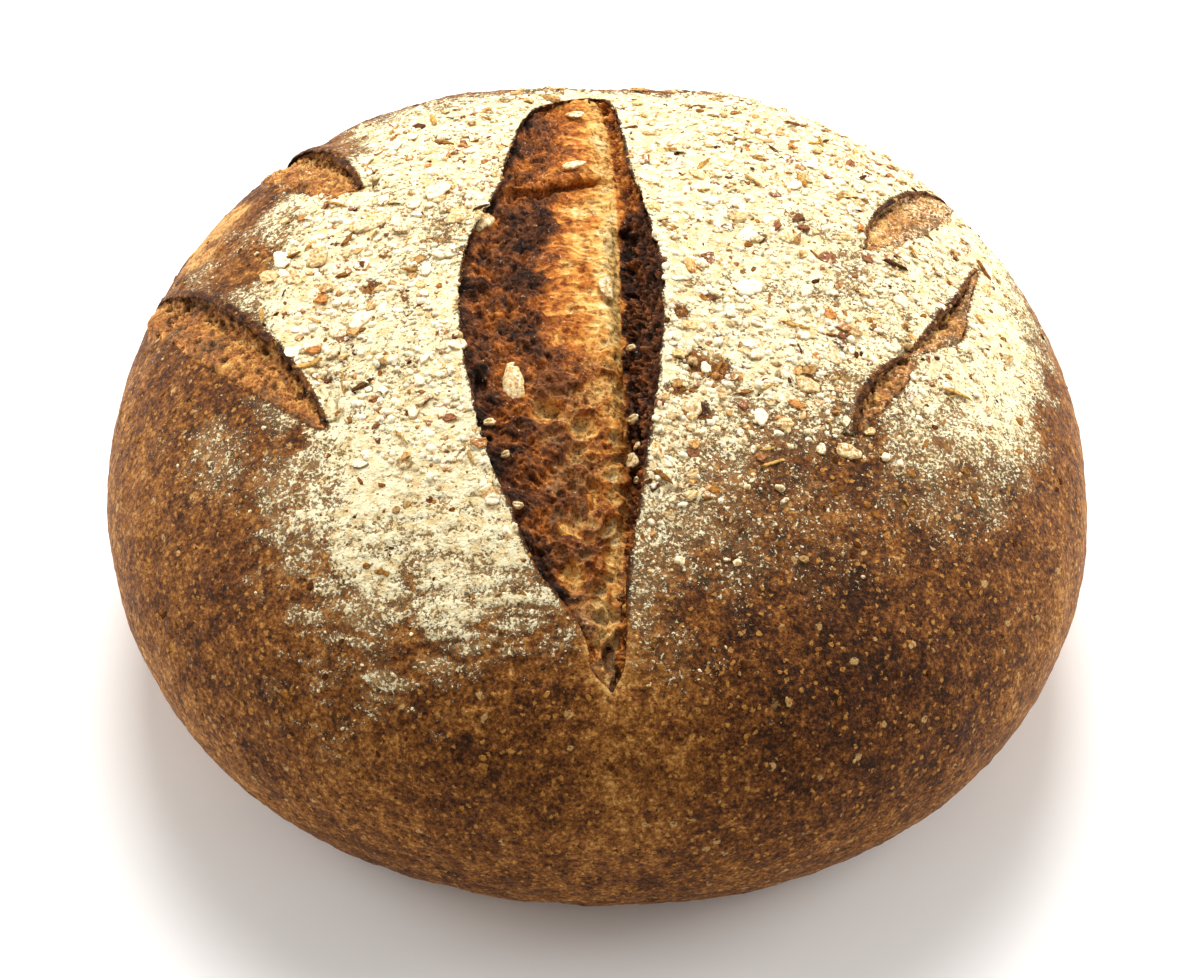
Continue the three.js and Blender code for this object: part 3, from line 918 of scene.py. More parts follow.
    def finish(self, colour: object, roughness: object, normal: object, gloss: float) -> bpy.types.Material:
        """Joins the results to the shader and returns the material.

        Args:
            colour: base colour.
            roughness: roughness.
            normal: bumped normal.
            gloss: specular level, 0.5 for ordinary plastics.

        Returns:
            The finished material.
        """
        self.join(colour, self.shader.inputs["Base Color"])
        self.join(roughness, self.shader.inputs["Roughness"])
        self.join(normal, self.shader.inputs["Normal"])
        self.shader.inputs["Specular IOR Level"].default_value = gloss
        return self.material


@dataclass(frozen=True)
class CrustFinish:
    """Baked crust, brown and gritty with bran, under the flour that lies on it in specks and drifts."""

    blond: Colour = linear(206, 160, 92)
    tan: Colour = linear(164, 110, 50)
    brown: Colour = linear(116, 68, 24)
    dark: Colour = linear(72, 38, 12)
    soot: Colour = linear(36, 18, 5)
    gold: Colour = linear(190, 134, 62)
    bran: Colour = linear(196, 158, 100)
    flour: Colour = linear(243, 232, 192)
    flour_shade: Colour = linear(224, 198, 144)

    def build(self) -> bpy.types.Material:
        """Makes the material.

        Returns:
            A material that reads the attributes flour, from 0 to 1.5, bake, from 0, pale, to 1, dark, with
            painted shade and light in it, and lump, from -1 in the hollows to 1 on the lumps.
        """
        r = Recipe("crust")
        grit, second_grit, blotch = r.noise(1.0, 0.75), r.noise(0.7, 0.75), r.noise(3.0, 0.6)
        baked = r.weighted(
            (r.number("bake"), 0.75), (r.noise(7, 0.55), 0.5), (grit, -1.7), (blotch, -1.0),
            (second_grit, -0.5),
        )
        baked = r.maths("ADD", baked, 1.5)
        tones = (self.blond, self.tan, self.brown, self.dark, self.soot)
        crust = r.colours(baked, tuple(zip((0.0, 0.22, 0.5, 0.76, 1.0), tones)))
        flakes = r.spots(4.6, 0.9, 0.3, r.ragged(1.6, 1.2))
        crumbs = r.spots(1.9, 0.55, 0.5, r.ragged(0.9, 0.8))
        pits = r.spots(3.0, 0.42, 0.35, r.ragged(1.2, 1.0))
        strong_crumbs = r.maths("MULTIPLY", crumbs, r.climb(second_grit, 0.38, 0.5, 0.2, 0.8))
        strong_flakes = r.maths("MULTIPLY", flakes, r.climb(second_grit, 0.38, 0.52, 0.1, 0.8))
        crust = r.blend(strong_crumbs, crust, self.gold)
        crust = r.blend(strong_flakes, crust, self.bran)
        # Soot-coloured pits, bumped inward below: painted shade in the crust's small pores.
        crust = r.blend(r.maths("MULTIPLY", pits, 0.85), crust, self.soot)
        crust = r.blend(r.climb(r.number("flour"), 0.05, 0.8, 0.0, 0.2), crust, self.flour_shade)
        powder_grain, clumps = r.noise(0.8, 0.75), r.noise(2.2, 0.6)
        cover = r.weighted(
            (powder_grain, 0.8), (clumps, 0.2), (r.number("flour"), 0.27), (r.number("lump"), 0.03)
        )
        cover = r.maths("MULTIPLY", r.climb(cover, 0.615, 0.665), r.climb(r.number("flour"), 0.0, 0.12))
        drifted = r.climb(r.weighted((clumps, 0.5), (blotch, 0.5)), 0.4, 0.56)
        powder = r.blend(drifted, self.flour_shade, self.flour)
        colour = r.blend(r.maths("MULTIPLY", cover, 0.93), crust, powder)
        height = r.weighted((grit, 0.5), (second_grit, 0.4), (flakes, 0.15), (crumbs, 0.15), (pits, -0.5))
        drifts = r.maths("MULTIPLY", cover, r.weighted((clumps, 1.6), (powder_grain, 0.7)))
        height = r.weighted((height, 1.0), (drifts, 1.0))
        return r.finish(colour, r.climb(cover, 0.0, 1.0, 0.6, 0.95), r.bump(height, 0.6), 0.1)


@dataclass(frozen=True)
class CrumbTones:
    """Colours of torn crumb by how far it has baked, from pale in fresh hollows to char on thin edges."""

    stops: Stops = (
        (0.0, linear(240, 216, 160)),
        (0.14, linear(234, 190, 112)),
        (0.3, linear(216, 150, 68)),
        (0.46, linear(182, 104, 38)),
        (0.6, linear(140, 82, 40)),
        (0.74, linear(100, 60, 36)),
        (0.88, linear(56, 35, 23)),
        (1.0, linear(24, 15, 9)),
    )
    olive: Colour = linear(184, 154, 104)

    def at(self, bake: np.ndarray, olive: np.ndarray) -> np.ndarray:
        """Linear colours for these bakes, part of them turned olive, shape (..., 3)."""
        places = [place for place, _ in self.stops]
        bands = ([colour[k] for _, colour in self.stops] for k in range(3))
        tone = np.stack([np.interp(bake, places, band) for band in bands], -1)
        return tone + (np.array(self.olive[:3]) - tone) * olive[..., None]


TONES = CrumbTones()


@dataclass(frozen=True)
class CrumbFinish:
    """Torn crumb: the colour kept at each point, painted shade included, with fine fibres, grain, specks of
    flour and painted shade and highlights on the fibres.
    """

    dark: Colour = linear(120, 74, 50)
    flour: Colour = linear(238, 222, 186)

    def build(self) -> bpy.types.Material:
        """The material, which reads the colour tint and the attributes dust and fibrous, from 0 to 1."""
        r = Recipe("crumb")
        grain = r.noise(0.8, 0.75)
        fibre = r.noise(1.1, 0.65, r.stretched((0.3, 1, 1)))
        fibre = r.maths("MULTIPLY_ADD", r.maths("SUBTRACT", fibre, grain), r.number("fibrous"), grain)
        shade = r.weighted((fibre, 0.6), (r.noise(2.0, 0.7), 0.4))
        # Darker where the fibre pattern is low and lighter where it is high, as in the bump below: painted
        # shade and painted highlights on the fibres.
        colour = r.blend(r.climb(shade, 0.54, 0.4, 0.0, 0.8), r.tint(), self.dark, "MULTIPLY")
        colour = r.blend(r.climb(shade, 0.52, 0.64, 0.0, 0.35), colour, r.tint(), "SCREEN")
        specks = r.weighted((r.noise(0.8, 0.75), 1.0), (r.number("dust"), 0.27))
        colour = r.blend(r.climb(specks, 0.67, 0.74, 0.0, 0.85), colour, self.flour)
        height = r.weighted((fibre, 0.6), (shade, 0.8))
        return r.finish(colour, 0.55, r.bump(height, 0.6), 0.08)


@dataclass(frozen=True)
class BitFinish:
    """Small bits on the crust, each of its own colour, dusted with flour on what faces up."""

    name: str
    flour: Colour = linear(244, 234, 204)
    shadow: Colour = linear(178, 140, 100)

    def build(self) -> bpy.types.Material:
        """The material, which reads the colour attribute tint and the attribute dust, from 0 to 1."""
        r = Recipe(self.name)
        normal = r.add(Kind.SPLIT, Vector=r.add(Kind.GEOMETRY).outputs["Normal"])
        mottle = r.noise(0.8, 0.65)
        own = r.blend(r.climb(mottle, 0.55, 0.4, 0.0, 0.8), r.tint(), self.shadow, "MULTIPLY")
        up = r.weighted((normal.outputs["Z"], 0.2), (r.noise(1.0, 0.7), 0.8), (r.number("dust"), 0.4))
        colour = r.blend(r.climb(up, 0.74, 0.9, 0.0, 0.9), own, self.flour)
        return r.finish(colour, 0.9, r.bump(mottle, 0.3), 0.05)


# --- the crust --------------------------------------------------------


@dataclass(frozen=True)
class Crust:
    """The whole crust as one closed surface: rings from the valley under the slash out over its lips, over
    the dome to the waist, down the flanks and in under the base."""

    turns: int = 700
    recess_rings: int = 3
    dome_rings: int = 97
    flank_rings: int = 31
    base_rings: int = 5
    gather: float = 1.14
    valley_share: float = 0.72
    crust_thickness: float = 1.8
    left_undercut: float = 0.8
    right_undercut: float = 2.4
    recess_depth: float = 16.0
    base_height: float = 1.0

    def surface(self) -> Surface:
        """The closed crust, with its flour, bake and lumps at each point; the bake carries painted shade
        and light as well.
        """
        angle = FULL_TURN / 4 + FULL_TURN * np.arange(self.turns) / self.turns
        along = (1 - np.sin(angle)) / 2
        is_left = np.arange(self.turns) <= self.turns // 2
        left, right = SLASH.left.at(along), SLASH.right.at(along)
        lip = np.where(is_left[:, None], left, right)
        valley = left + (right - left) * self.valley_share
        valley[:, 1] -= 2 * np.sin(angle)
        full = SLASH.fullness(along)
        undercut = np.where(is_left, self.left_undercut, self.right_undercut) * full
        proud = np.where(is_left, SLASH.left_raise, SLASH.right_raise) * full
        tangent = np.roll(lip, -2, axis=0) - np.roll(lip, 2, axis=0)
        tangent /= np.linalg.norm(tangent, axis=1, keepdims=True)
        outward = np.stack([tangent[:, 1], -tangent[:, 0]], -1)
        rings = self._recess(valley, lip + outward * undercut[:, None], full)
        rings += self._lip(lip, outward, full, undercut, proud)
        slash_rings = len(rings)
        rings += self._dome(lip, outward, angle)
        rings += self._flank(angle)
        grid = np.stack(rings)
        relief, lump = SKIN.relief(grid)
        ring = np.arange(len(grid))[:, None]
        shown = ramp(ring, slash_rings - 3, slash_rings + 3)
        flour = FLOUR.density(grid) * (ring >= slash_rings - 2)
        bake = SKIN.bake(grid)
        # The recess and the lips' undersides, round to their edges, get the darkest bake: painted shade
        # under the lips.
        bake[: slash_rings - 2] = 1.0
        under = grid[..., 2] < self.base_height
        bake = np.where(under, 0.36 + 0.25 * layered_noise(grid, 45, SEED + 16), bake)
        flour = np.where(under, np.clip(0.3 + 0.4 * layered_noise(grid, 50, SEED + 8), 0.0, 0.7), flour)
        offset = relief * shown * ramp(grid[..., 2], 0.0, 5.0)
        normal = grid_normals(grid, True)
        crown = len(grid) // 2
        normal *= np.sign(np.sum(normal[crown] * grid[crown], axis=-1).mean())
        return self._closed(grid + normal * offset[..., None], {"flour": flour, "bake": bake, "lump": lump})

    def _recess(self, valley: np.ndarray, wall: np.ndarray, full: np.ndarray) -> list[np.ndarray]:
        """Rings of the hidden recess that holds the torn crumb: level floor, then a wall under the lip."""
        rings = []
        for share in np.linspace(0, 1, self.recess_rings):
            place = valley + (wall - valley) * share
            sunk = self.recess_depth * full * (1 - 0.35 * share**4)
            rings.append(FORM.over(place, -sunk))
        return rings

    def _lip(
        self, lip: np.ndarray, outward: np.ndarray, full: np.ndarray, cut_in: np.ndarray, proud: np.ndarray
    ) -> list[np.ndarray]:
        """Rings round the edge of a lip: up its inside, along its underside, round its torn edge."""
        thick = self.crust_thickness * full
        rim = np.column_stack([lip, proud])
        ragged = (0.6 * soft_noise(rim, 1.4, SEED + 9) + 0.7 * soft_noise(rim, 5, SEED + 10)) * full
        profile = (
            (cut_in, -2.2 * thick),
            (cut_in * 0.8 + 0.2, proud - thick),
            (0.4 + ragged, proud - thick * 0.8),
            (0.1 + ragged, proud - thick * 0.45),
            (0.0 + ragged, proud - 0.35),
            (0.3 + ragged, proud),
        )
        rings = []
        for offset, height in profile:
            place = lip + outward * np.asarray(offset)[:, None]
            rings.append(FORM.over(place, height))
        return rings

    def _dome(self, lip: np.ndarray, outward: np.ndarray, angle: np.ndarray) -> list[np.ndarray]:
        """Rings over the dome, from beside the lips to the waist, closer in plan as the side steepens."""
        start, end = lip + outward * 1.1, FORM.waist(angle)
        swing = np.linspace(0, 1, self.dome_rings) ** self.gather * FULL_TURN / 4
        reach = np.sin(swing) ** (2 / FORM.dome_roundness)
        place = start[None] + (end - start)[None] * reach[:, None, None]
        return list(FORM.over(place, SKIN.lift(place) - SKIN.recess(place)))

    def _flank(self, angle: np.ndarray) -> list[np.ndarray]:
        """Rings from the waist down to the base's rim and in under the flat base."""
        outline = FORM.waist(angle) + FORM.middle
        rings = []
        for share in np.linspace(0, 1, self.flank_rings + 1)[1:]:
            swing = share * FULL_TURN / 4
            reach = FORM.base_share + (1 - FORM.base_share) * math.cos(swing) ** (2 / FORM.flank_roundness)
            height = max(0.0, FORM.waist_height * (1 - math.sin(swing) ** (2 / FORM.flank_roundness)))
            rings.append(np.column_stack([outline * reach - FORM.middle, np.full(self.turns, height)]))
        for share in np.linspace(1, 0, self.base_rings + 1)[1:-1]:
            rim = outline * FORM.base_share * share - FORM.middle
            rings.append(np.column_stack([rim, np.zeros(self.turns)]))
        return rings

    def _closed(self, grid: np.ndarray, numbers: dict[str, np.ndarray]) -> Surface:
        """Joins the valley's two sides into one line and closes the base with a middle point."""
        rings, turns = grid.shape[:2]
        points = np.concatenate([grid.reshape(-1, 3), [[-FORM.middle[0], -FORM.middle[1], 0.0]]])
        bottom = fan((rings - 1) * turns, turns, rings * turns)[:, ::-1]
        turn = np.arange(turns)
        same = np.arange(len(points))
        same[:turns] = np.minimum(turn, (turns - turn) % turns)
        faces = same[np.concatenate([grid_faces(rings, turns, True), bottom])]
        whole = (faces[:, 0] != faces[:, 1]) & (faces[:, 1] != faces[:, 2]) & (faces[:, 2] != faces[:, 0])
        used, compact = np.unique(faces[whole], return_inverse=True)
        points, faces = points[used], compact.reshape(-1, 3)
        kept = {key: np.append(values.ravel(), 0.4)[used] for key, values in numbers.items()}
        return Surface(points, facing_out(points, faces), kept)


# --- torn crumb -------------------------------------------------------


@dataclass(frozen=True)
class Hollow:
    """A single hole, hollow or lump in the slash: where, how wide both ways, how deep, how baked inside,
    which in the deep holes is painted shade.
    """

    x: float
    y: float
    across: float
    lengthwise: float
    depth: float
    bake: float

    def share(self, flat: np.ndarray) -> np.ndarray:
        """1 in its middle and 0 outside it, at these points in plan."""
        gap = np.hypot((flat[..., 0] - self.x) / self.across, (flat[..., 1] - self.y) / self.lengthwise)
        return ramp(gap + 0.16 * soft_noise(flat, 1.8, SEED + 40), 1.1, 0.55)


@dataclass(frozen=True)
class SlashCrumb:
    """The torn crumb in the long slash: a dark nubbly slope, an orange middle and a charred right wall,
    darkened further with painted shade.
    """

    rows: int = 590
    floor_columns: int = 120
    wall_columns: int = 46
    tuck: float = 1.8
    end_tuck: float = 1.6
    ledge: Pairs = ((-18.5, 38.7), (-8.9, 42.4), (0.7, 47.5))
    middle_tones: Pairs = (
        (0.0, 0.42), (0.04, 0.14), (0.2, 0.1), (0.38, 0.26), (0.6, 0.36), (0.85, 0.46), (1.0, 0.5),
    )
    middle_width: float = 17.0
    middle_darkest: float = 0.68
    slope_bake: float = 0.86
    slope_darkest: float = 0.94
    wall_bake: float = 0.8
    flap_rise: float = 1.5
    flap_drop: float = 0.9
    hollows: tuple[Hollow, ...] = (
        Hollow(-3.5, 34.5, 8.5, 4.2, 1.0, 0.16),
        Hollow(-11, -33.5, 4.2, 3.6, 1.9, 0.2),
        Hollow(-3.3, -37.6, 4.8, 3.6, 1.7, 0.08),
        Hollow(-24.2, -41.4, 1.3, 1.2, 2.4, 1.0),
        Hollow(-0.9, -53.8, 2.0, 4.4, 2.3, 0.3),
        Hollow(-7.9, -55.4, 1.3, 1.3, 1.4, 0.75),
        Hollow(-6.2, -63.5, 3.6, 2.2, 1.2, 0.16),
        Hollow(-5.5, -74.6, 3.4, 4.0, 0.9, 0.12),
        Hollow(1.9, -85.7, 2.6, 3.8, 0.8, 0.16),
        Hollow(2.6, -92.2, 1.7, 3.0, 2.6, 0.8),
        Hollow(-16.9, -38.4, 4.6, 4.0, -1.3, 0.88),
        Hollow(-17.4, 5.8, 7.0, 4.6, -0.8, 0.94),
        Hollow(-13, 25, 4.5, 7.0, -0.9, 0.84),
        Hollow(0.0, -71.6, 2.0, 2.2, -0.9, 0.5),
        Hollow(7.2, 22.0, 2.2, 7.0, 1.0, 1.0),
        Hollow(-24.8, -7.6, 2.2, 3.0, 1.5, 0.5),
        Hollow(-26.6, 15.4, 1.8, 2.6, 1.6, 0.98),
        Hollow(-26.4, -26.0, 1.8, 2.4, 1.6, 0.96),
        Hollow(-21.0, 12.0, 4.6, 3.0, -1.3, 0.8),
        Hollow(-15.4, -5.9, 4.6, 2.2, -1.0, 0.74),
        Hollow(2.3, -22.6, 2.0, 2.6, -0.5, 0.5),
    )

    @cached_property
    def strip(self) -> Arrays:
        """The strip of rows across the slash from tip to tip.

        Returns:
            Points, how baked each is, painted highlights and shade included, and how olive, shapes (rows,
            columns, ...).
        """
        along = np.linspace(0.006, 0.994, self.rows)
        left, right = SLASH.left.at(along), SLASH.right.at(along)
        full = SLASH.fullness(along)[:, None]
        end_push = self.end_tuck * (ramp(along, 0.03, 0.0) - ramp(along, 0.97, 1.0))
        left[:, 1] += end_push
        right[:, 1] += end_push
        width = np.linalg.norm(right - left, axis=1)[:, None]
        foot_x = SLASH.wall_foot.across_at(left[:, 1] * 0.3 + right[:, 1] * 0.7)
        foot = np.clip((foot_x - left[:, 0]) / (right[:, 0] - left[:, 0] + 1e-6), 0.3, 0.94)[:, None]
        tuck = self.tuck * np.minimum(1, full * 1.6) / width
        floor_share = -0.6 * tuck + (foot + 0.6 * tuck) * np.linspace(0, 1, self.floor_columns)[None]
        wall_share = foot + (1 + tuck - foot) * np.linspace(0, 1, self.wall_columns + 1)[None, 1:]
        share = np.concatenate([floor_share, wall_share], 1)
        place = left[:, None] + (right - left)[:, None] * share[..., None]
        down = self._depth(place, share, foot) * np.minimum(1, full * 1.15)
        base = FORM.over(place, -down)
        relief, bake, olive = self._torn(base, share, foot)
        inner = np.minimum(ramp(share, -0.04, 0.08), ramp(share, 1.06, 0.94))
        calm = ramp(full, 0.0, 0.3) * (0.3 + 0.7 * inner)
        grid = base + grid_normals(base, False) * (relief * calm)[..., None]
        return grid, bake, olive

    def surface(self) -> Surface:
        """The strip closed from below, with its colour and dust at each point."""
        grid, bake, olive = self.strip
        points, faces = closed_loops(skirted(grid))
        # The skirt and both ends, out of sight under the lips, are near-black: painted shade where a gap
        # shows them.
        tint = TONES.at(skirt_filled(bake, 0.95), skirt_filled(olive, 0.0))
        dust = skirt_filled(0.12 - 0.06 * ramp(bake, 0.5, 0.8), 0.0)
        fibrous = skirt_filled(0.6 * ramp(bake, 0.6, 0.4) * ramp(grid[..., 1], -25, 0), 0.0)
        return Surface(points, faces, {"dust": dust, "fibrous": fibrous}, {"tint": tint})

    def _behind_ledge(self, place: np.ndarray) -> np.ndarray:
        """Distance behind the torn ledge's front edge, negative in front of it."""
        line = np.array(self.ledge)
        flat = np.concatenate([place[..., :2], np.zeros((*place.shape[:-1], 1))], -1)
        wobble = 0.7 * soft_noise(flat, 3.5, SEED + 29)
        return place[..., 1] - np.interp(place[..., 0], line[:, 0], line[:, 1]) + wobble

    def _depth(self, place: np.ndarray, share: np.ndarray, foot: np.ndarray) -> np.ndarray:
        """Depth under the dome: a step at the left lip, a slope to a gully, then the steep right wall."""
        y = place[..., 1]
        a = np.clip(share / foot, 0, 1)
        b = np.clip((share - foot) / (1 - foot), 0, 1)
        gully = 3.6 * ramp(y, 29, 24) * ramp(y, -74, -50) + 0.8
        depth = 2.0 + 3.6 * a**0.8 + gully * ramp(a, 0.9, 1.0)
        bottom = 5.6 + gully
        depth = np.where(share > foot, bottom + (1.6 - bottom) * b**1.5, depth)
        behind = self._behind_ledge(place)
        lobe = ramp(behind, -0.3, 1.1) * ramp(a, 1.0, 0.55) * (share < foot)
        mound = 2.4 - 1.0 * np.sin(np.pi * np.clip(a, 0, 1)) * ramp(behind, 30, 5)
        return depth + (mound - depth) * lobe * 0.85

    def _torn(self, base: np.ndarray, share: np.ndarray, foot: np.ndarray) -> Arrays:
        """Relief, bake and olive tinge of the torn crumb.

        Args:
            base: points of the smooth strip.
            share: shares across the slash.
            foot: share at which the right wall starts.

        Returns:
            Offsets along the normal in millimetres, bakes from 0 to 1 with painted highlights and shade in
            them, and olive shares from 0 to 1.
        """
        x, y = base[..., 0], base[..., 1]
        flat = base * np.array([1.0, 1.0, 0.0])
        bent = pushed(base, 8, 2.0, SEED + 20)
        lumps = layered_noise(base, 4.4, SEED + 25)
        nubs = ridged_noise(bent, 2.3, SEED + 22)
        fibres = ridged_noise(bent, (6, 1.5, 2.4), SEED + 26)
        near, second, who = cell_noise(bent, (5.0, 4.0, 5.0), SEED + 23)
        rims = (1 - ramp(second - near, 0.0, 0.55)) * (0.3 + 0.9 * ramp(lumps, -0.5, 0.5))
        pits = ramp(near, 0.62, 0.15) * ramp(who, 0.3, 0.5)
        small_near, small_second, small_who = cell_noise(bent, 2.1, SEED + 24)
        small_rims = 1 - ramp(small_second - small_near, 0.02, 0.4)
        small_pits = ramp(small_near, 0.5, 0.12) * ramp(small_who, 0.6, 0.75)
        edge_wander = 2.4 * layered_noise(flat, 7, SEED + 27) + 1.3 * layered_noise(flat, 2.6, SEED + 21)
        dark = ramp(x - SLASH.dark_edge.across_at(y) + edge_wander, 1.8, -2.6)
        wall = ramp(share - foot + 0.02 * layered_noise(base, 3, SEED + 28), 0.0, 0.02)
        front = ramp(y + edge_wander, -6, -28)
        back = ramp(y, 30, 40)
        middle = (1 - dark) * (1 - wall)

        clods = (0.8 - small_near) * (0.4 + 0.9 * small_who)
        shards = (0.8 - near) * (0.3 + who)
        streaky = 0.5 * fibres + 0.5 * lumps + 0.25 * small_rims - 0.5 * small_pits
        honeycomb = 1.2 * rims - 1.4 * pits + 0.4 * small_rims - 0.8 * small_pits + 0.9 * lumps
        crags = ridged_noise(base, 1.5, SEED + 39, 2)
        nubbly = 1.5 * lumps + 1.5 * clods + 0.7 * nubs + 0.4 * crags + 1.3 * shards - 1.5
        charred = 1.5 * lumps + 1.7 * clods + 1.1 * nubs + 0.8 * crags + 1.2 * shards - 1.8
        loose = streaky * (1 - front) + honeycomb * front
        relief = loose * middle + nubbly * dark * (1 - wall) + charred * wall

        across = np.clip((SLASH.wall_foot.across_at(y) - x) / self.middle_width, 0, 1)
        tone = np.interp(across, *zip(*self.middle_tones))
        tone = tone + 0.05 * back + 0.24 * (fibres - 0.45) * (1 - front) * ramp(across, 0.05, 0.5)
        tone = tone + 0.16 * layered_noise(base, 3.4, SEED + 42) * ramp(across, 0.0, 0.4)
        tone = tone + front * (0.24 * rims + 0.14 * small_rims - 0.24 * pits + 0.04) + 0.1 * lumps
        tone = np.minimum(tone, self.middle_darkest)
        # On the dark slope the raised clods, nubs, crags and shards are made paler: painted highlights on
        # its ridges.
        bruised = self.slope_bake - 0.22 * clods - 0.14 * nubs - 0.05 * crags + 0.2 * lumps - 0.14 * shards
        bruised = bruised + 0.17 * layered_noise(base, 9, SEED + 28) - 0.12 * front
        bruised = bruised + 0.24 * front * ramp(x - SLASH.left.across_at(y), 8, 3) * ramp(y, -86, -76)
        bruised = bruised - 0.16 * back * ramp(x, -18, -9)
        # The wall is darker where the gully is deepest, partly char and partly painted shade; its raised
        # clods, nubs, crags and shards are paler: painted highlights.
        char_and_gully_shade = ramp(y, 36, 27) * ramp(y, -72, -42)
        wall_tone = self.wall_bake + 0.24 * char_and_gully_shade - 0.22 * clods - 0.28 * nubs - 0.12 * crags
        wall_tone = wall_tone - 0.16 * shards * (1 - char_and_gully_shade)
        bruised = np.minimum(bruised, self.slope_darkest)
        bake = tone * middle + bruised * dark * (1 - wall) + wall_tone * wall
        # Darker within about 2 mm of the left lip, where the crumb tucks under it: painted shade under the
        # lip.
        left_rim = ramp(x - SLASH.left.across_at(y), 2.2, 0.2) * ramp(y, 88, 70)
        bake = bake + 0.1 * left_rim + 0.08 * layered_noise(base, 1.6, SEED + 31, 2)
        hollowed = 0.4 * pits + 0.25 * ramp(lumps, 0.1, -0.6)
        olive = middle * (front * hollowed + 0.3 * ramp(y, -74, -88))

        behind = self._behind_ledge(base)
        spread = (1 - wall) * ramp(share, 0.95, 0.6)
        flap = bell(behind - 0.5, 0.8) * spread
        # The band just in front of the flap is dropped and darkened: painted shade under the flap.
        below = bell(behind + 1.3, 1.0) * spread
        relief = relief + self.flap_rise * flap - self.flap_drop * below
        bake = bake + (0.44 - bake) * 0.7 * flap + (0.66 - bake) * 0.5 * below
        # Deep holes with a bake near 1 are painted dark inside: painted shade in the holes.
        for hollow in self.hollows:
            inside = hollow.share(flat)
            relief = relief - hollow.depth * inside
            bake = bake + (hollow.bake - bake + 0.24 * (fibres - 0.5)) * inside * 0.75
        return relief, np.clip(bake, 0, 1), np.clip(olive, 0, 1)


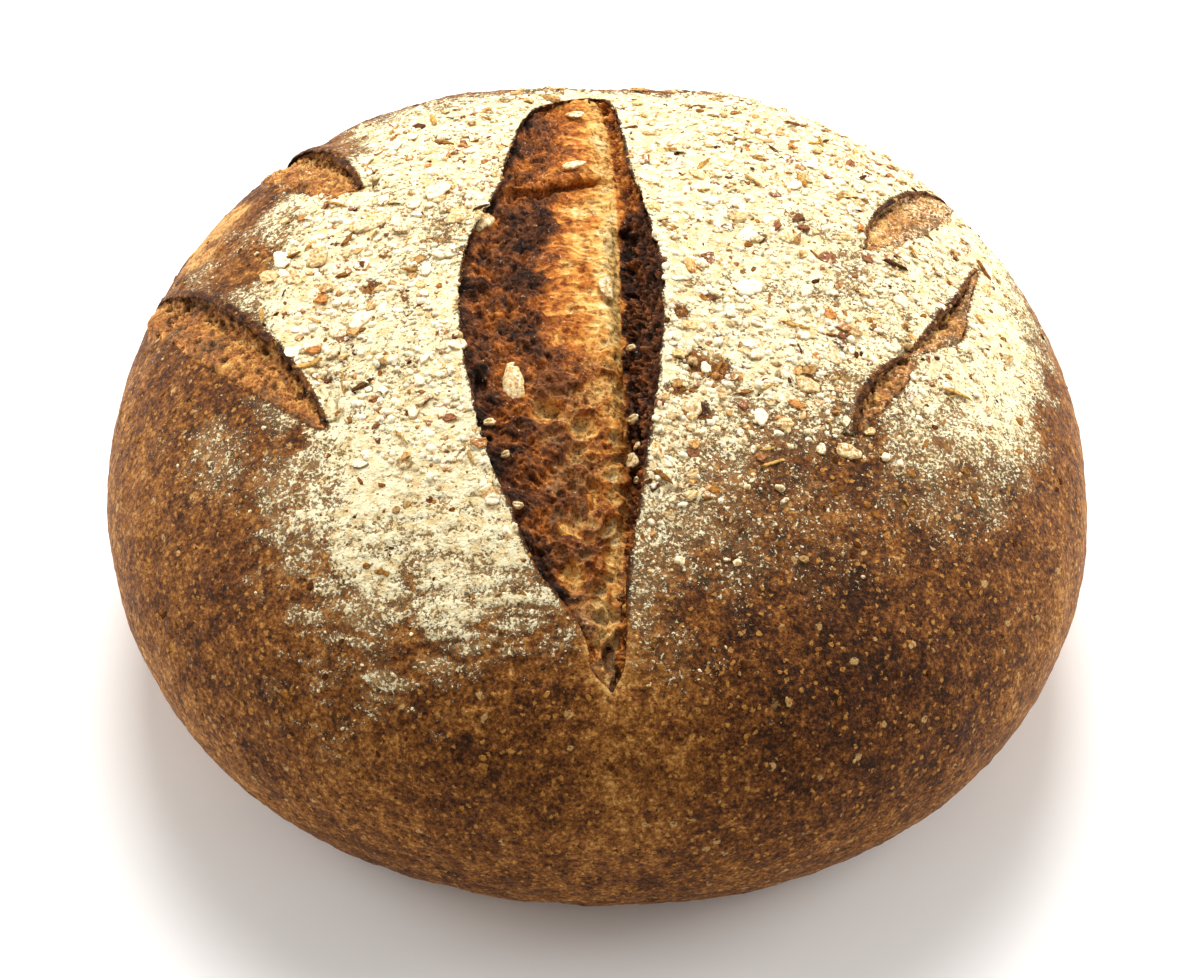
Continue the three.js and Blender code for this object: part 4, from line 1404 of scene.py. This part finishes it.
@dataclass(frozen=True)
class CutDressing:
    """A shoulder cut's two pieces: the proud ear of crust, and the torn face under it."""

    cut: ShoulderCut
    step: float = 0.45
    wall_share: float = 0.1
    ear_profile: Pairs = (
        (8.6, -1.2), (7.6, -0.4), (6.4, 0.02), (5.0, 0.1), (3.8, 0.15), (2.6, 0.18), (1.6, 0.2), (0.8, 0.2),
        (0.1, 0.14), (-0.5, 0.04), (-0.85, -0.25), (-0.9, -0.6), (-0.6, -0.95), (0.0, -1.15), (1.0, -1.4),
        (2.4, -1.9), (4.5, -2.3), (7.0, -2.2),
    )
    ear_columns: int = 52
    usual_lip: float = 1.6
    usual_depth: float = 4.5

    @property
    def along(self) -> np.ndarray:
        """Shares along the edge at which the rows stand."""
        return np.linspace(0.015, 0.985, int(self.cut.edge.length() / self.step))

    def ear(self) -> Surface:
        """The proud edge: a closed profile carried along the cut, over the crust, round the edge and back
        under it.

        Returns:
            The closed ear, with its flour, bake and lumps at each point; the bake is darkened underneath as
            painted shade.
        """
        along = 0.02 + 0.96 * self.along
        full = cut_fullness(along)[:, None]
        bold = self.cut.lip / self.usual_lip
        corner = np.arange(len(self.ear_profile))
        dense = np.linspace(0, corner[-1], self.ear_columns)
        offset, height = (np.interp(dense, corner, side)[None] for side in zip(*self.ear_profile))
        offset = np.where(offset < 0, offset * bold, offset)
        edge, way = self.cut.edge.at(along), self.cut.crownward(along)
        rim = np.column_stack([edge, along])
        ragged = (0.5 * soft_noise(rim, 3.0, SEED + 30) + 0.25 * soft_noise(rim, 1.1, SEED + 35)) * bold
        out = offset * (0.05 + 0.95 * full) + ragged[:, None] * full * ramp(offset, 2.5, 0.0)
        place = edge[:, None] + way[:, None] * out[..., None]
        base = FORM.over(place)
        free = ramp(offset, 3.0, 1.5)
        flour = FLOUR.density(base) * (1 - free * (1 - ramp(height, -0.5, -0.1)))
        relief, lump = SKIN.relief(base)
        lift = self.cut.lip * full * np.clip(1 - np.maximum(out, 0) / self.cut.ear_spread, 0, 1) ** 1.5
        rise = lift + height * (0.3 + 0.7 * full) * (0.6 + 0.4 * bold) + relief * ramp(height, -1.2, -0.2)
        rise = rise + SLASH.lift(place)
        rise = rise - 0.7 * (1 - full) * ramp(offset, 1.0, 5.0)
        grid = FORM.over(place, rise)
        # The ear's free underside is darkened: painted shade under the ear.
        bake = np.clip(SKIN.bake(base) + 0.5 * ramp(height, -0.1, -0.7) * free, 0, 1)
        points, faces = closed_loops(grid)
        numbers = {"flour": flour, "bake": bake, "lump": lump}
        numbers = {key: np.append(values.ravel(), (0.5, 0.5)) for key, values in numbers.items()}
        return Surface(points, faces, numbers)

    def torn(self) -> Surface:
        """The torn face: from under the ear down a short wall, then out along the floor to the foot.

        Returns:
            The closed strip, with its colour and dust at each point.
        """
        cut, along = self.cut, self.along
        full = cut_fullness(along)[:, None]
        edge, foot = cut.edge.at(along), cut.foot.at(along)
        way = cut.crownward(along)
        span = np.linalg.norm(foot - edge, axis=1).max()
        columns = max(24, int(span / self.step) + 14)
        share = np.linspace(0, 1, columns)[None]
        wall = np.clip(share / self.wall_share, 0, 1)
        floor = np.clip((share - self.wall_share) / (1 - self.wall_share), 0, 1)
        tucked = (cut.undercut + 0.8) * (1 - 0.6 * wall) * (1 - floor) * full
        reach = (foot - edge)[:, None] * (floor * 1.1)[..., None]
        place = edge[:, None] + way[:, None] * tucked[..., None] + reach
        rim = np.column_stack([foot, along])
        end = 0.88 + 0.08 * layered_noise(rim, 6, SEED + 44) + 0.05 * soft_noise(rim, 1.5, SEED + 45)
        end = end[:, None]
        falling = np.clip(1 - floor / end, 0, 1) ** 1.1 * (0.72 + 0.28 * ramp(floor, 0, 0.3))
        down = np.where(share < self.wall_share, 0.5 + (0.72 * cut.depth - 0.5) * wall, cut.depth * falling)
        down = down * full + 0.9 * ramp(floor - end, 0.0, 0.06)
        base = FORM.over(place, -down)
        relief, bake, dust = self._relief(base, floor, along[:, None])
        calm = ramp(floor, 1.0, 0.8) * np.minimum(1, full * 1.3) * (0.4 + 0.6 * ramp(share, 0.0, 0.15))
        grid = base + grid_normals(base, False) * (relief * calm)[..., None]
        points, faces = closed_loops(skirted(grid))
        # The skirt and both ends, out of sight under the ear, are dark: painted shade where a gap shows
        # them.
        tint = TONES.at(skirt_filled(bake, 0.9), np.full(len(points), cut.tan))
        numbers = {"dust": skirt_filled(dust, 0.0), "fibrous": np.zeros(len(points))}
        return Surface(points, faces, numbers, {"tint": tint})

    def _relief(self, base: np.ndarray, floor: np.ndarray, along: np.ndarray) -> Arrays:
        """Relief, bake and dust of the torn face: nubs, small cells and a few large holes near its start.

        Args:
            base: points of the smooth strip.
            floor: shares across the floor of the cut, from its wall to its foot.
            along: shares along the cut.

        Returns:
            Offsets along the normal in millimetres, bakes with painted highlights and shade in them, and
            dust, both from 0 to 1.
        """
        bent = pushed(base, 6, 1.4, SEED + 36)
        lumps, nubs = layered_noise(base, 4, SEED + 34), ridged_noise(bent, 2.0, SEED + 32)
        near, second, who = cell_noise(bent, 2.5, SEED + 33)
        rims = 1 - ramp(second - near, 0.02, 0.4)
        pits = ramp(near, 0.55, 0.12) * ramp(who, 0.45, 0.6)
        wide_near, _, wide_who = cell_noise(bent, 4.6, SEED + 46)
        holes = ramp(wide_near, 0.42, 0.22) * ramp(wide_who, 0.3, 0.4)
        holes = holes * ramp(along, 0.5, 0.25) * ramp(floor, 0.75, 0.4) * self.cut.holes
        bold = min(1.0, self.cut.depth / self.usual_depth)
        relief = 0.7 * lumps + 0.8 * nubs + 0.4 * rims - 1.1 * pits + 0.5 * (0.7 - near) - 2.2 * holes
        relief = relief * bold
        # Nubs and cell rims are made paler, pits and holes darker, and the wall just under the ear darker:
        # painted highlights on the nubs, painted shade in the pits and holes and under the ear.
        bake = self.cut.bake - 0.24 * nubs - 0.14 * rims + 0.36 * pits + 0.14 * lumps + 0.4 * holes
        bake = bake + 0.2 * ramp(floor, 0.2, 0.0) + (0.2 + 0.2 * lumps) * ramp(floor, 0.5, 0.9)
        bake = bake + 0.16 * layered_noise(base, 9, SEED + 37)
        dust = self.cut.dust + 0.3 * layered_noise(base, 6, SEED + 38) * (self.cut.dust > 0)
        return relief, np.clip(bake, 0, 1), np.clip(dust + 0.5 * self.cut.dust * floor, 0, 1)


# --- oats, bran and grit ----------------------------------------------


def standing(place: np.ndarray) -> Arrays:
    """Points on the shown crust over these places, and the normals there.

    Args:
        place: places in plan, shape (n, 2).

    Returns:
        Points, shape (n, 3), and unit normals, shape (n, 3).
    """
    base = FORM.over(place)
    normal = FORM.dome_normal(place)
    relief, _ = SKIN.relief(base)
    lifted = base + normal * relief[:, None]
    lifted[:, 2] += SKIN.lift(place)
    return lifted, normal


def frames(normal: np.ndarray, turn: np.ndarray, tip: np.ndarray) -> np.ndarray:
    """Axes for things that lie on the crust: each turned about its normal, then tipped off it.

    Args:
        normal: unit normals, shape (n, 3).
        turn: turns about the normal, in radians.
        tip: leans off the normal, in radians.

    Returns:
        Rows are the long way, the short way and up, shape (n, 3, 3).
    """
    front = np.cross(normal, np.array([1.0, 0.0, 0.0]))
    front /= np.linalg.norm(front, axis=1, keepdims=True)
    side = np.cross(front, normal)
    long_way = side * np.cos(turn)[:, None] + front * np.sin(turn)[:, None]
    short_way = np.cross(normal, long_way)
    tipped_long = long_way * np.cos(tip)[:, None] + normal * np.sin(tip)[:, None]
    up = np.cross(tipped_long, short_way)
    return np.stack([tipped_long, short_way, up], 1)


def off_the_cuts(place: np.ndarray, margin: float) -> np.ndarray:
    """Whether each place is on whole crust, margin millimetres or more from the slash and torn faces."""
    outside, _, _ = SLASH.beside(place)
    free = outside > margin
    for cut in CUTS:
        distance, along, width = cut.beside(place)
        inner = (distance < margin + 0.3) & (distance > -width - margin) & (along > 0.01) & (along < 0.99)
        free &= ~inner
    return free


class Spread(Enum):
    """How bits are spread: with the topping, with the flour, or over all of the dome."""

    TOPPING = "topping"
    FLOUR = "flour"
    DOME = "dome"


@dataclass(frozen=True)
class Scatter:
    """Small bits spread over the crust, each a copy of a rough little solid."""

    name: str
    count: int
    sizes: Pair
    flatness: Pair
    slimness: Pair
    levels: Pairs
    sides: int
    seed: int
    spread: Spread
    colours: Stops
    dust: Pair
    sunk: float = 0.25
    lean: float = 0.25
    ragged: float = 0.18
    smooth: bool = False
    field_half: float = 116.0
    tries_each: int = 4
    furthest: float = 0.97
    clearance: float = 0.7

    def places(self, rng: np.random.Generator) -> np.ndarray:
        """Random places on the crust in plan, shape (count, 2), more of them where the spread says."""
        kept: list[np.ndarray] = []
        total = 0
        while total < self.count:
            tries = rng.uniform(-self.field_half, self.field_half, (self.count * self.tries_each, 2))
            tries = tries[FORM.share_out(tries) < self.furthest]
            chance = self._chance(FORM.over(tries))
            tries = tries[rng.random(len(tries)) < chance]
            tries = tries[off_the_cuts(tries, self.clearance)]
            kept.append(tries)
            total += len(tries)
        return np.concatenate(kept)[: self.count]

    def _chance(self, points: np.ndarray) -> np.ndarray:
        """Chance that a bit which falls on each point stays there."""
        if self.spread is Spread.DOME:
            return np.full(len(points), 1.0)
        flour = np.clip(FLOUR.density(points), 0, 1)
        if self.spread is Spread.FLOUR:
            return flour
        patches = 0.55 + 0.45 * layered_noise(points, 16, SEED + 17)
        return np.clip(SKIN.topped(points) * (0.1 + 0.9 * flour**1.5) * patches, 0, 1)

    def surface(self) -> Surface:
        """Works out all the bits at once: rings of a lopsided bun, squashed, turned and part sunk.

        Returns:
            One surface with all the bits, with a colour and dust at each point.
        """
        rng = np.random.default_rng(self.seed)
        spot, normal = standing(self.places(rng))
        count, sides = self.count, self.sides
        draw = rng.random(count) ** 1.8
        size = self.sizes[0] + (self.sizes[1] - self.sizes[0]) * draw
        flat, slim = rng.uniform(*self.flatness, count), rng.uniform(*self.slimness, count)
        angle = FULL_TURN * np.arange(sides) / sides
        outline = 1 + self.ragged * rng.standard_normal((count, sides))
        rings = []
        for radius, level in self.levels:
            ring = outline * radius * (1 + 0.3 * self.ragged * rng.standard_normal((count, sides)))
            wobble = level + 0.12 * rng.standard_normal((count, sides))
            rings.append(np.stack([ring * np.cos(angle), ring * np.sin(angle), wobble], -1))
        caps = np.zeros((count, 2, 3))
        caps[:, 0, 2], caps[:, 1, 2] = self.levels[0][1], self.levels[-1][1] + 0.08
        shape = np.concatenate([*rings, caps], 1)
        shape = shape * np.stack([size, size * slim, size * flat], -1)[:, None] / 2
        axes = frames(normal, rng.uniform(0, FULL_TURN, count), rng.normal(0, self.lean, count))
        body = np.einsum("nki,nij->nkj", shape, axes)
        lift = (size * flat * (0.5 - self.sunk))[:, None, None] * normal[:, None]
        points = (body + spot[:, None] + lift).reshape(-1, 3)
        corners = len(self.levels) * sides + 2
        one = tube_faces(len(self.levels), sides)[:, ::-1]
        faces = (one[None] + (np.arange(count) * corners)[:, None, None]).reshape(-1, 3)
        thin = np.clip(FLOUR.density(spot) - 1.0, -1.0, 0.0) * 0.5
        dust = np.repeat(rng.uniform(*self.dust, count) + thin, corners)
        return Surface(points, faces, {"dust": dust}, {"tint": self._tints(rng, corners)}, self.smooth)

    def _tints(self, rng: np.random.Generator, corners: int) -> np.ndarray:
        """A colour for each bit, picked by weight, with a little of its own light and dark."""
        weights = np.array([weight for weight, _ in self.colours])
        palette = np.array([colour[:3] for _, colour in self.colours])
        pick = rng.choice(len(palette), self.count, p=weights / weights.sum())
        own = palette[pick] * rng.uniform(0.7, 1.2, (self.count, 1))
        return np.repeat(np.clip(own, 0, 1), corners, axis=0)


@dataclass(frozen=True)
class OatFlakes:
    """Rolled oats on the crust and in the slash: thin curled ovals with a crease along the middle.

    A flake is listed by its place in plan, its length, its width and its turn in degrees.
    """

    listed: tuple[Flake, ...] = (
        (-54, 26.6, 9.5, 5.2, 15), (-38, 36, 6.5, 5, 30), (-54.3, -5, 7.5, 5, 50), (17.8, 71.4, 8, 5, 5),
        (28, 65.3, 6.5, 5, 160), (50.8, 54.8, 10, 5.5, 165), (19, 62, 6, 4.5, 20), (-75, 20.2, 8, 4, 120),
        (-77.7, 15, 8, 4, 125), (-72.5, 13.5, 8, 4, 118), (-66.2, 17.6, 7, 5, 70), (35, 0.7, 6.5, 5.5, 0),
        (35.9, -17.9, 6, 5, 40), (21, -36, 6, 4.5, 80), (-33, 26, 7, 5, 60), (47.7, -27, 6, 4, 150),
        (35.6, 18.7, 6, 4.5, 30), (62.9, 39, 8, 5, 165), (-22.8, -58.8, 3.4, 2.8, 0),
        (-24.6, -55.4, 3.2, 2.5, 40),
    )
    in_slash: tuple[Flake, ...] = (
        (-5.4, 78.4, 7, 3.6, -48), (-5.5, 49.2, 6, 2.8, 10), (1.7, 3.3, 7.5, 4.4, 100),
        (-18.8, -26.2, 11.0, 5.2, 100), (-27.2, 25.4, 6, 4.5, 40), (8.4, -12.1, 2.6, 2.0, 0),
        (8.2, -44.4, 3.6, 3.0, 60), (-20.1, -45.6, 2.2, 1.6, 20), (9.8, -40.5, 2.4, 2.0, 0),
        (-17.4, -59.2, 2.4, 1.9, 0), (-24.0, -37.4, 2.6, 2.2, 0), (9.4, -60.4, 2.6, 2.2, 30),
        (8.9, -33.3, 3.2, 2.8, 0), (9.9, -48.4, 2.2, 1.8, 0),
    )
    small_count: int = 64
    spread_steps: Triple = (0.7548776662, 0.569840291, 0.6180339887)
    spread_radius: float = 78.0
    small_lengths: Pair = (3.2, 6.0)
    thickness: float = 0.9
    crust_rise: float = 0.3
    slash_rise: float = 1.3
    clearance: float = 4.0
    rings: int = 6
    sides: int = 24
    oat: Colour = linear(226, 196, 138)

    def small(self) -> list[Flake]:
        """The even spread of smaller flakes: steps of a two-way sequence give place, length and turn."""
        flakes: list[Flake] = []
        step = 1
        while len(flakes) < self.small_count:
            first, second, third = ((step * size) % 1 for size in self.spread_steps)
            radius = self.spread_radius * math.sqrt(second)
            x = SKIN.topping_middle[0] + radius * math.cos(FULL_TURN * first)
            y = SKIN.topping_middle[1] + radius * math.sin(FULL_TURN * first)
            low, high = self.small_lengths
            length = low + (high - low) * third * third
            if off_the_cuts(np.array([[x, y]]), self.clearance)[0]:
                flakes.append((x, y, length, length * 0.65, 360 * third))
            step += 1
        return flakes

    def surface(self, slash_grid: np.ndarray) -> Surface:
        """All the flakes as one surface.

        Args:
            slash_grid: points of the torn crumb, on which the flakes in the slash lie.

        Returns:
            The flakes, with a colour and dust at each point.
        """
        rng = np.random.default_rng(SEED + 50)
        on_crust, in_slash = np.array([*self.listed, *self.small()]), np.array(self.in_slash)
        spot, normal = standing(on_crust[:, :2])
        deep_spot, deep_normal = self._in_slash(slash_grid, in_slash[:, :2])
        flakes = np.concatenate([on_crust, in_slash])
        spot, normal = np.concatenate([spot, deep_spot]), np.concatenate([normal, deep_normal])
        axes = frames(normal, np.radians(flakes[:, 4]), rng.normal(0, 0.1, len(flakes)))
        points, faces, tints, dust = [], [], [], []
        for number, (_, y, length, width, _) in enumerate(flakes):
            shape, one = self.flake(length, width, rng)
            lies_on_crust = number < len(on_crust)
            rise = self.thickness * (self.crust_rise if lies_on_crust else self.slash_rise)
            points.append(shape @ axes[number] + spot[number] + normal[number] * rise)
            faces.append(one + number * len(shape))
            tints.append(np.tile(np.array(self.oat[:3]) * rng.uniform(0.8, 1.1), (len(shape), 1)))
            deep_dust = 0.55 if y > 40 else 0.45
            dust.append(np.full(len(shape), rng.uniform(0.3, 0.9) if lies_on_crust else deep_dust))
        points, faces, tints, dust = (np.concatenate(rows) for rows in (points, faces, tints, dust))
        return Surface(points, faces, {"dust": dust}, {"tint": tints})

    def _in_slash(self, grid: np.ndarray, place: np.ndarray) -> Arrays:
        """The crumb's points nearest to these places in plan, and the smoothed normals there."""
        flat = grid.reshape(-1, 3)
        nearest = [int(np.argmin(((flat[:, :2] - spot) ** 2).sum(1))) for spot in place]
        around = 9
        rows, columns = np.array(nearest) // grid.shape[1], np.array(nearest) % grid.shape[1]
        rows = np.clip(rows, around, grid.shape[0] - around - 1)
        columns = np.clip(columns, around, grid.shape[1] - around - 1)
        run = grid[rows + around, columns] - grid[rows - around, columns]
        across = grid[rows, columns + around] - grid[rows, columns - around]
        normal = np.cross(run, across)
        normal *= np.sign(normal[:, 2:3])
        patches = [grid[r - 5 : r + 6, c - 5 : c + 6].reshape(-1, 3) for r, c in zip(rows, columns)]
        spots = np.column_stack([place, [np.quantile(patch[:, 2], 0.6) for patch in patches]])
        return spots, normal / np.linalg.norm(normal, axis=1, keepdims=True)

    def flake(self, length: float, width: float, rng: np.random.Generator) -> Arrays:
        """One flake about the origin: rings from rim to middle, above and below, curled and creased.

        Args:
            length: its long way.
            width: its short way.
            rng: gives its ragged rim and its curl.

        Returns:
            Its points and its triangles.
        """
        angle = FULL_TURN * np.arange(self.sides) / self.sides
        phase = rng.uniform(0, FULL_TURN, 3)
        rim = 1 + 0.09 * np.sin(2 * angle + phase[0]) + 0.08 * np.sin(3 * angle + phase[1])
        rim = rim + 0.05 * np.sin(7 * angle + phase[2]) + 0.03 * rng.standard_normal(self.sides)
        shares = np.linspace(1, 0.15, self.rings)[:, None]
        x = length / 2 * shares * (rim * np.cos(angle))[None]
        y = width / 2 * shares * (rim * np.sin(angle))[None]
        curl = rng.uniform(-0.02, 0.05)
        crease = 0.3 * bell(y, 0.1 * width) * ramp(np.abs(x), length * 0.42, length * 0.3)
        bow = -curl * x**2 - (curl + 0.02) * y**2 + 0.12 * np.sin(2 * angle + phase[1])[None] * shares
        swell = self.thickness / 2 * np.sqrt(np.clip(1 - shares**2 * 0.98, 0, 1)) + 0.08
        top = np.stack([x, y, bow + swell - crease], -1).reshape(-1, 3)
        under = np.stack([x, y, bow - swell], -1).reshape(-1, 3)
        middle = np.array([[0, 0, self.thickness / 2 - 0.3], [0, 0, -self.thickness / 2]])
        points = np.concatenate([top, under, middle])
        half = self.rings * self.sides
        upper = grid_faces(self.rings, self.sides, True)
        crown = fan(half - self.sides, self.sides, 2 * half)[:, ::-1]
        floor = fan(2 * half - self.sides, self.sides, 2 * half + 1)
        side = np.arange(self.sides)
        following = (side + 1) % self.sides
        rim_faces = np.concatenate([
            np.stack([side, following, half + following], -1),
            np.stack([side, half + following, half + side], -1),
        ])
        faces = np.concatenate([upper, upper[:, ::-1] + half, crown, floor, rim_faces])
        return points, facing_out(points, faces)


BITS = (
    Scatter(
        "clots", 3600, (0.9, 2.7), (0.4, 0.75), (0.65, 1.0), ((1.0, -0.6), (0.92, 0.1), (0.5, 0.6)), 8,
        SEED + 60, Spread.TOPPING,
        (
            (5.0, linear(232, 212, 166)), (2.0, linear(214, 180, 124)), (0.8, linear(192, 142, 86)),
            (0.2, linear(130, 84, 50)),
        ),
        (0.35, 1.3), sunk=0.42, smooth=True,
    ),
    Scatter(
        "oat_bits", 330, (2.0, 4.8), (0.16, 0.34), (0.45, 0.9), ((1.0, -0.5), (0.88, 0.5)), 9,
        SEED + 61, Spread.TOPPING,
        (
            (4.0, linear(226, 196, 140)), (2.0, linear(210, 166, 104)), (1.0, linear(186, 130, 72)),
            (0.5, linear(150, 98, 66)),
        ),
        (0.0, 1.0), sunk=0.12,
    ),
    Scatter(
        "bran_flakes", 60, (2.0, 4.6), (0.1, 0.2), (0.5, 0.95), ((1.0, -0.5), (0.9, 0.5)), 9,
        SEED + 62, Spread.TOPPING,
        ((3.0, linear(148, 100, 70)), (2.0, linear(104, 68, 44)), (1.5, linear(176, 124, 82))),
        (-0.1, 0.6), sunk=0.1,
    ),
    Scatter(
        "slivers", 90, (3.0, 7.5), (0.1, 0.2), (0.14, 0.24), ((1.0, -0.5), (0.8, 0.5)), 7,
        SEED + 63, Spread.TOPPING,
        ((2.0, linear(206, 164, 92)), (1.0, linear(150, 104, 50)), (0.6, linear(96, 66, 38))),
        (-0.3, 0.35), sunk=-0.1, lean=0.1,
    ),
    Scatter(
        "grit", 6000, (0.4, 1.2), (0.4, 0.8), (0.6, 1.0), ((1.0, -0.5), (0.6, 0.5)), 6,
        SEED + 64, Spread.FLOUR,
        ((5.0, linear(236, 220, 178)), (2.0, linear(216, 184, 126)), (0.5, linear(160, 108, 58))),
        (0.2, 1.0), sunk=0.35,
    ),
    Scatter(
        "crust_bran", 900, (0.7, 2.6), (0.14, 0.3), (0.4, 0.9), ((1.0, -0.5), (0.8, 0.5)), 7,
        SEED + 65, Spread.DOME,
        (
            (3.0, linear(160, 112, 54)), (2.0, linear(140, 92, 42)), (0.6, linear(186, 150, 96)),
            (1.2, linear(80, 46, 18)),
        ),
        (-0.6, -0.3), sunk=0.35, lean=0.1,
    ),
)


# --- camera, light and floor ------------------------------------------


def facing(eye: Triple, aim: Triple) -> Euler:
    """The turn that points a camera or a lamp from its place to what it is aimed at."""
    return (Vector(aim) - Vector(eye)).to_track_quat("-Z", "Y").to_euler()


@dataclass(frozen=True)
class Studio:
    """A white table in a light tent, seen from the front and above; its lamps and table are in metres."""

    eye: Triple = (-0.1, -460.5, 568.3)
    aim: Triple = (0.76, -6.5, 35.5)
    lens: float = 85.2
    sensor: float = 36.0
    hair: float = 0.00005
    table_half: float = 3.0
    glow: float = 0.5
    lamps: tuple[tuple[str, Triple, float], ...] = (
        ("top_box", (0.0, 0.65, 0.95), 17.5),
        ("right_box", (1.0, 0.2, 0.4), 8.0),
        ("left_box", (-1.0, 0.25, 0.4), 6.5),
    )
    lamp_size: float = 0.6
    lamp_aim: Triple = (0, 0, 0.05)

    def camera(self) -> None:
        """Puts the camera where the loaf was seen from."""
        data = bpy.data.cameras.new("camera")
        data.lens, data.sensor_width, data.sensor_fit = self.lens, self.sensor, "HORIZONTAL"
        data.clip_start, data.clip_end = 0.01, 20
        camera = linked("camera", data)
        camera.location = Vector(self.eye) * MM
        camera.rotation_euler = facing(self.eye, self.aim)
        bpy.context.scene.camera = camera

    def floor(self) -> None:
        """A plain pale table top under the loaf."""
        mesh = bpy.data.meshes.new("table_top")
        half, low = self.table_half, -self.hair
        corners = [(-half, -half, low), (half, -half, low), (half, half, low), (-half, half, low)]
        mesh.from_pydata(corners, [], [(0, 1, 2, 3)])
        recipe = Recipe("table_top")
        clouds, grain = (recipe.noise(size, 0.55, detail=2) for size in (400, 3))
        shade = recipe.blend(clouds, linear(247, 245, 242), linear(250, 249, 247))
        normal = recipe.bump(grain, 0.02, 0.2)
        mesh.materials.append(recipe.finish(shade, 0.8, normal, 0.2))
        table = linked("table_top", mesh)

    def light(self) -> None:
        """Square soft boxes above, a little behind and at both sides, with the tent's glow all round."""
        for name, place, power in self.lamps:
            data = bpy.data.lights.new(name, "AREA")
            data.size, data.energy = self.lamp_size, power
            lamp = linked(name, data)
            lamp.location = place
            lamp.rotation_euler = facing(place, self.lamp_aim)
        world = bpy.data.worlds.new("tent")
        bpy.context.scene.world = world
        world.use_nodes = True
        background = world.node_tree.nodes["Background"]
        background.inputs["Color"].default_value = linear(255, 252, 248)
        background.inputs["Strength"].default_value = self.glow
        bpy.context.scene.view_settings.view_transform = "Standard"


def main() -> None:
    """Builds the loaf piece by piece, then the studio round it."""
    logging.basicConfig(level=logging.INFO, format="%(asctime)s %(message)s")
    crust_finish, crumb_finish = CrustFinish().build(), CrumbFinish().build()
    crust = Crust().surface().to_object("crust", crust_finish, "crust")
    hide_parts(NODE)
    slash_crumb = SlashCrumb()
    slash_crumb.surface().to_object("slash_crumb", crumb_finish, "crumb")
    for cut in CUTS:
        dressing = CutDressing(cut)
        dressing.ear().to_object(f"{cut.name}_ear", crust_finish, "crust")
        dressing.torn().to_object(f"{cut.name}_crumb", crumb_finish, "crumb")
    grain_finish = BitFinish("grain").build()
    for bits in BITS:
        bits.surface().to_object(bits.name, grain_finish, "grain")
    slash_grid, _, _ = slash_crumb.strip
    OatFlakes().surface(slash_grid).to_object("oats", BitFinish("oat").build(), "oat")
    studio = Studio()
    studio.camera()
    studio.floor()
    studio.light()


if __name__ == "__main__":
    main()
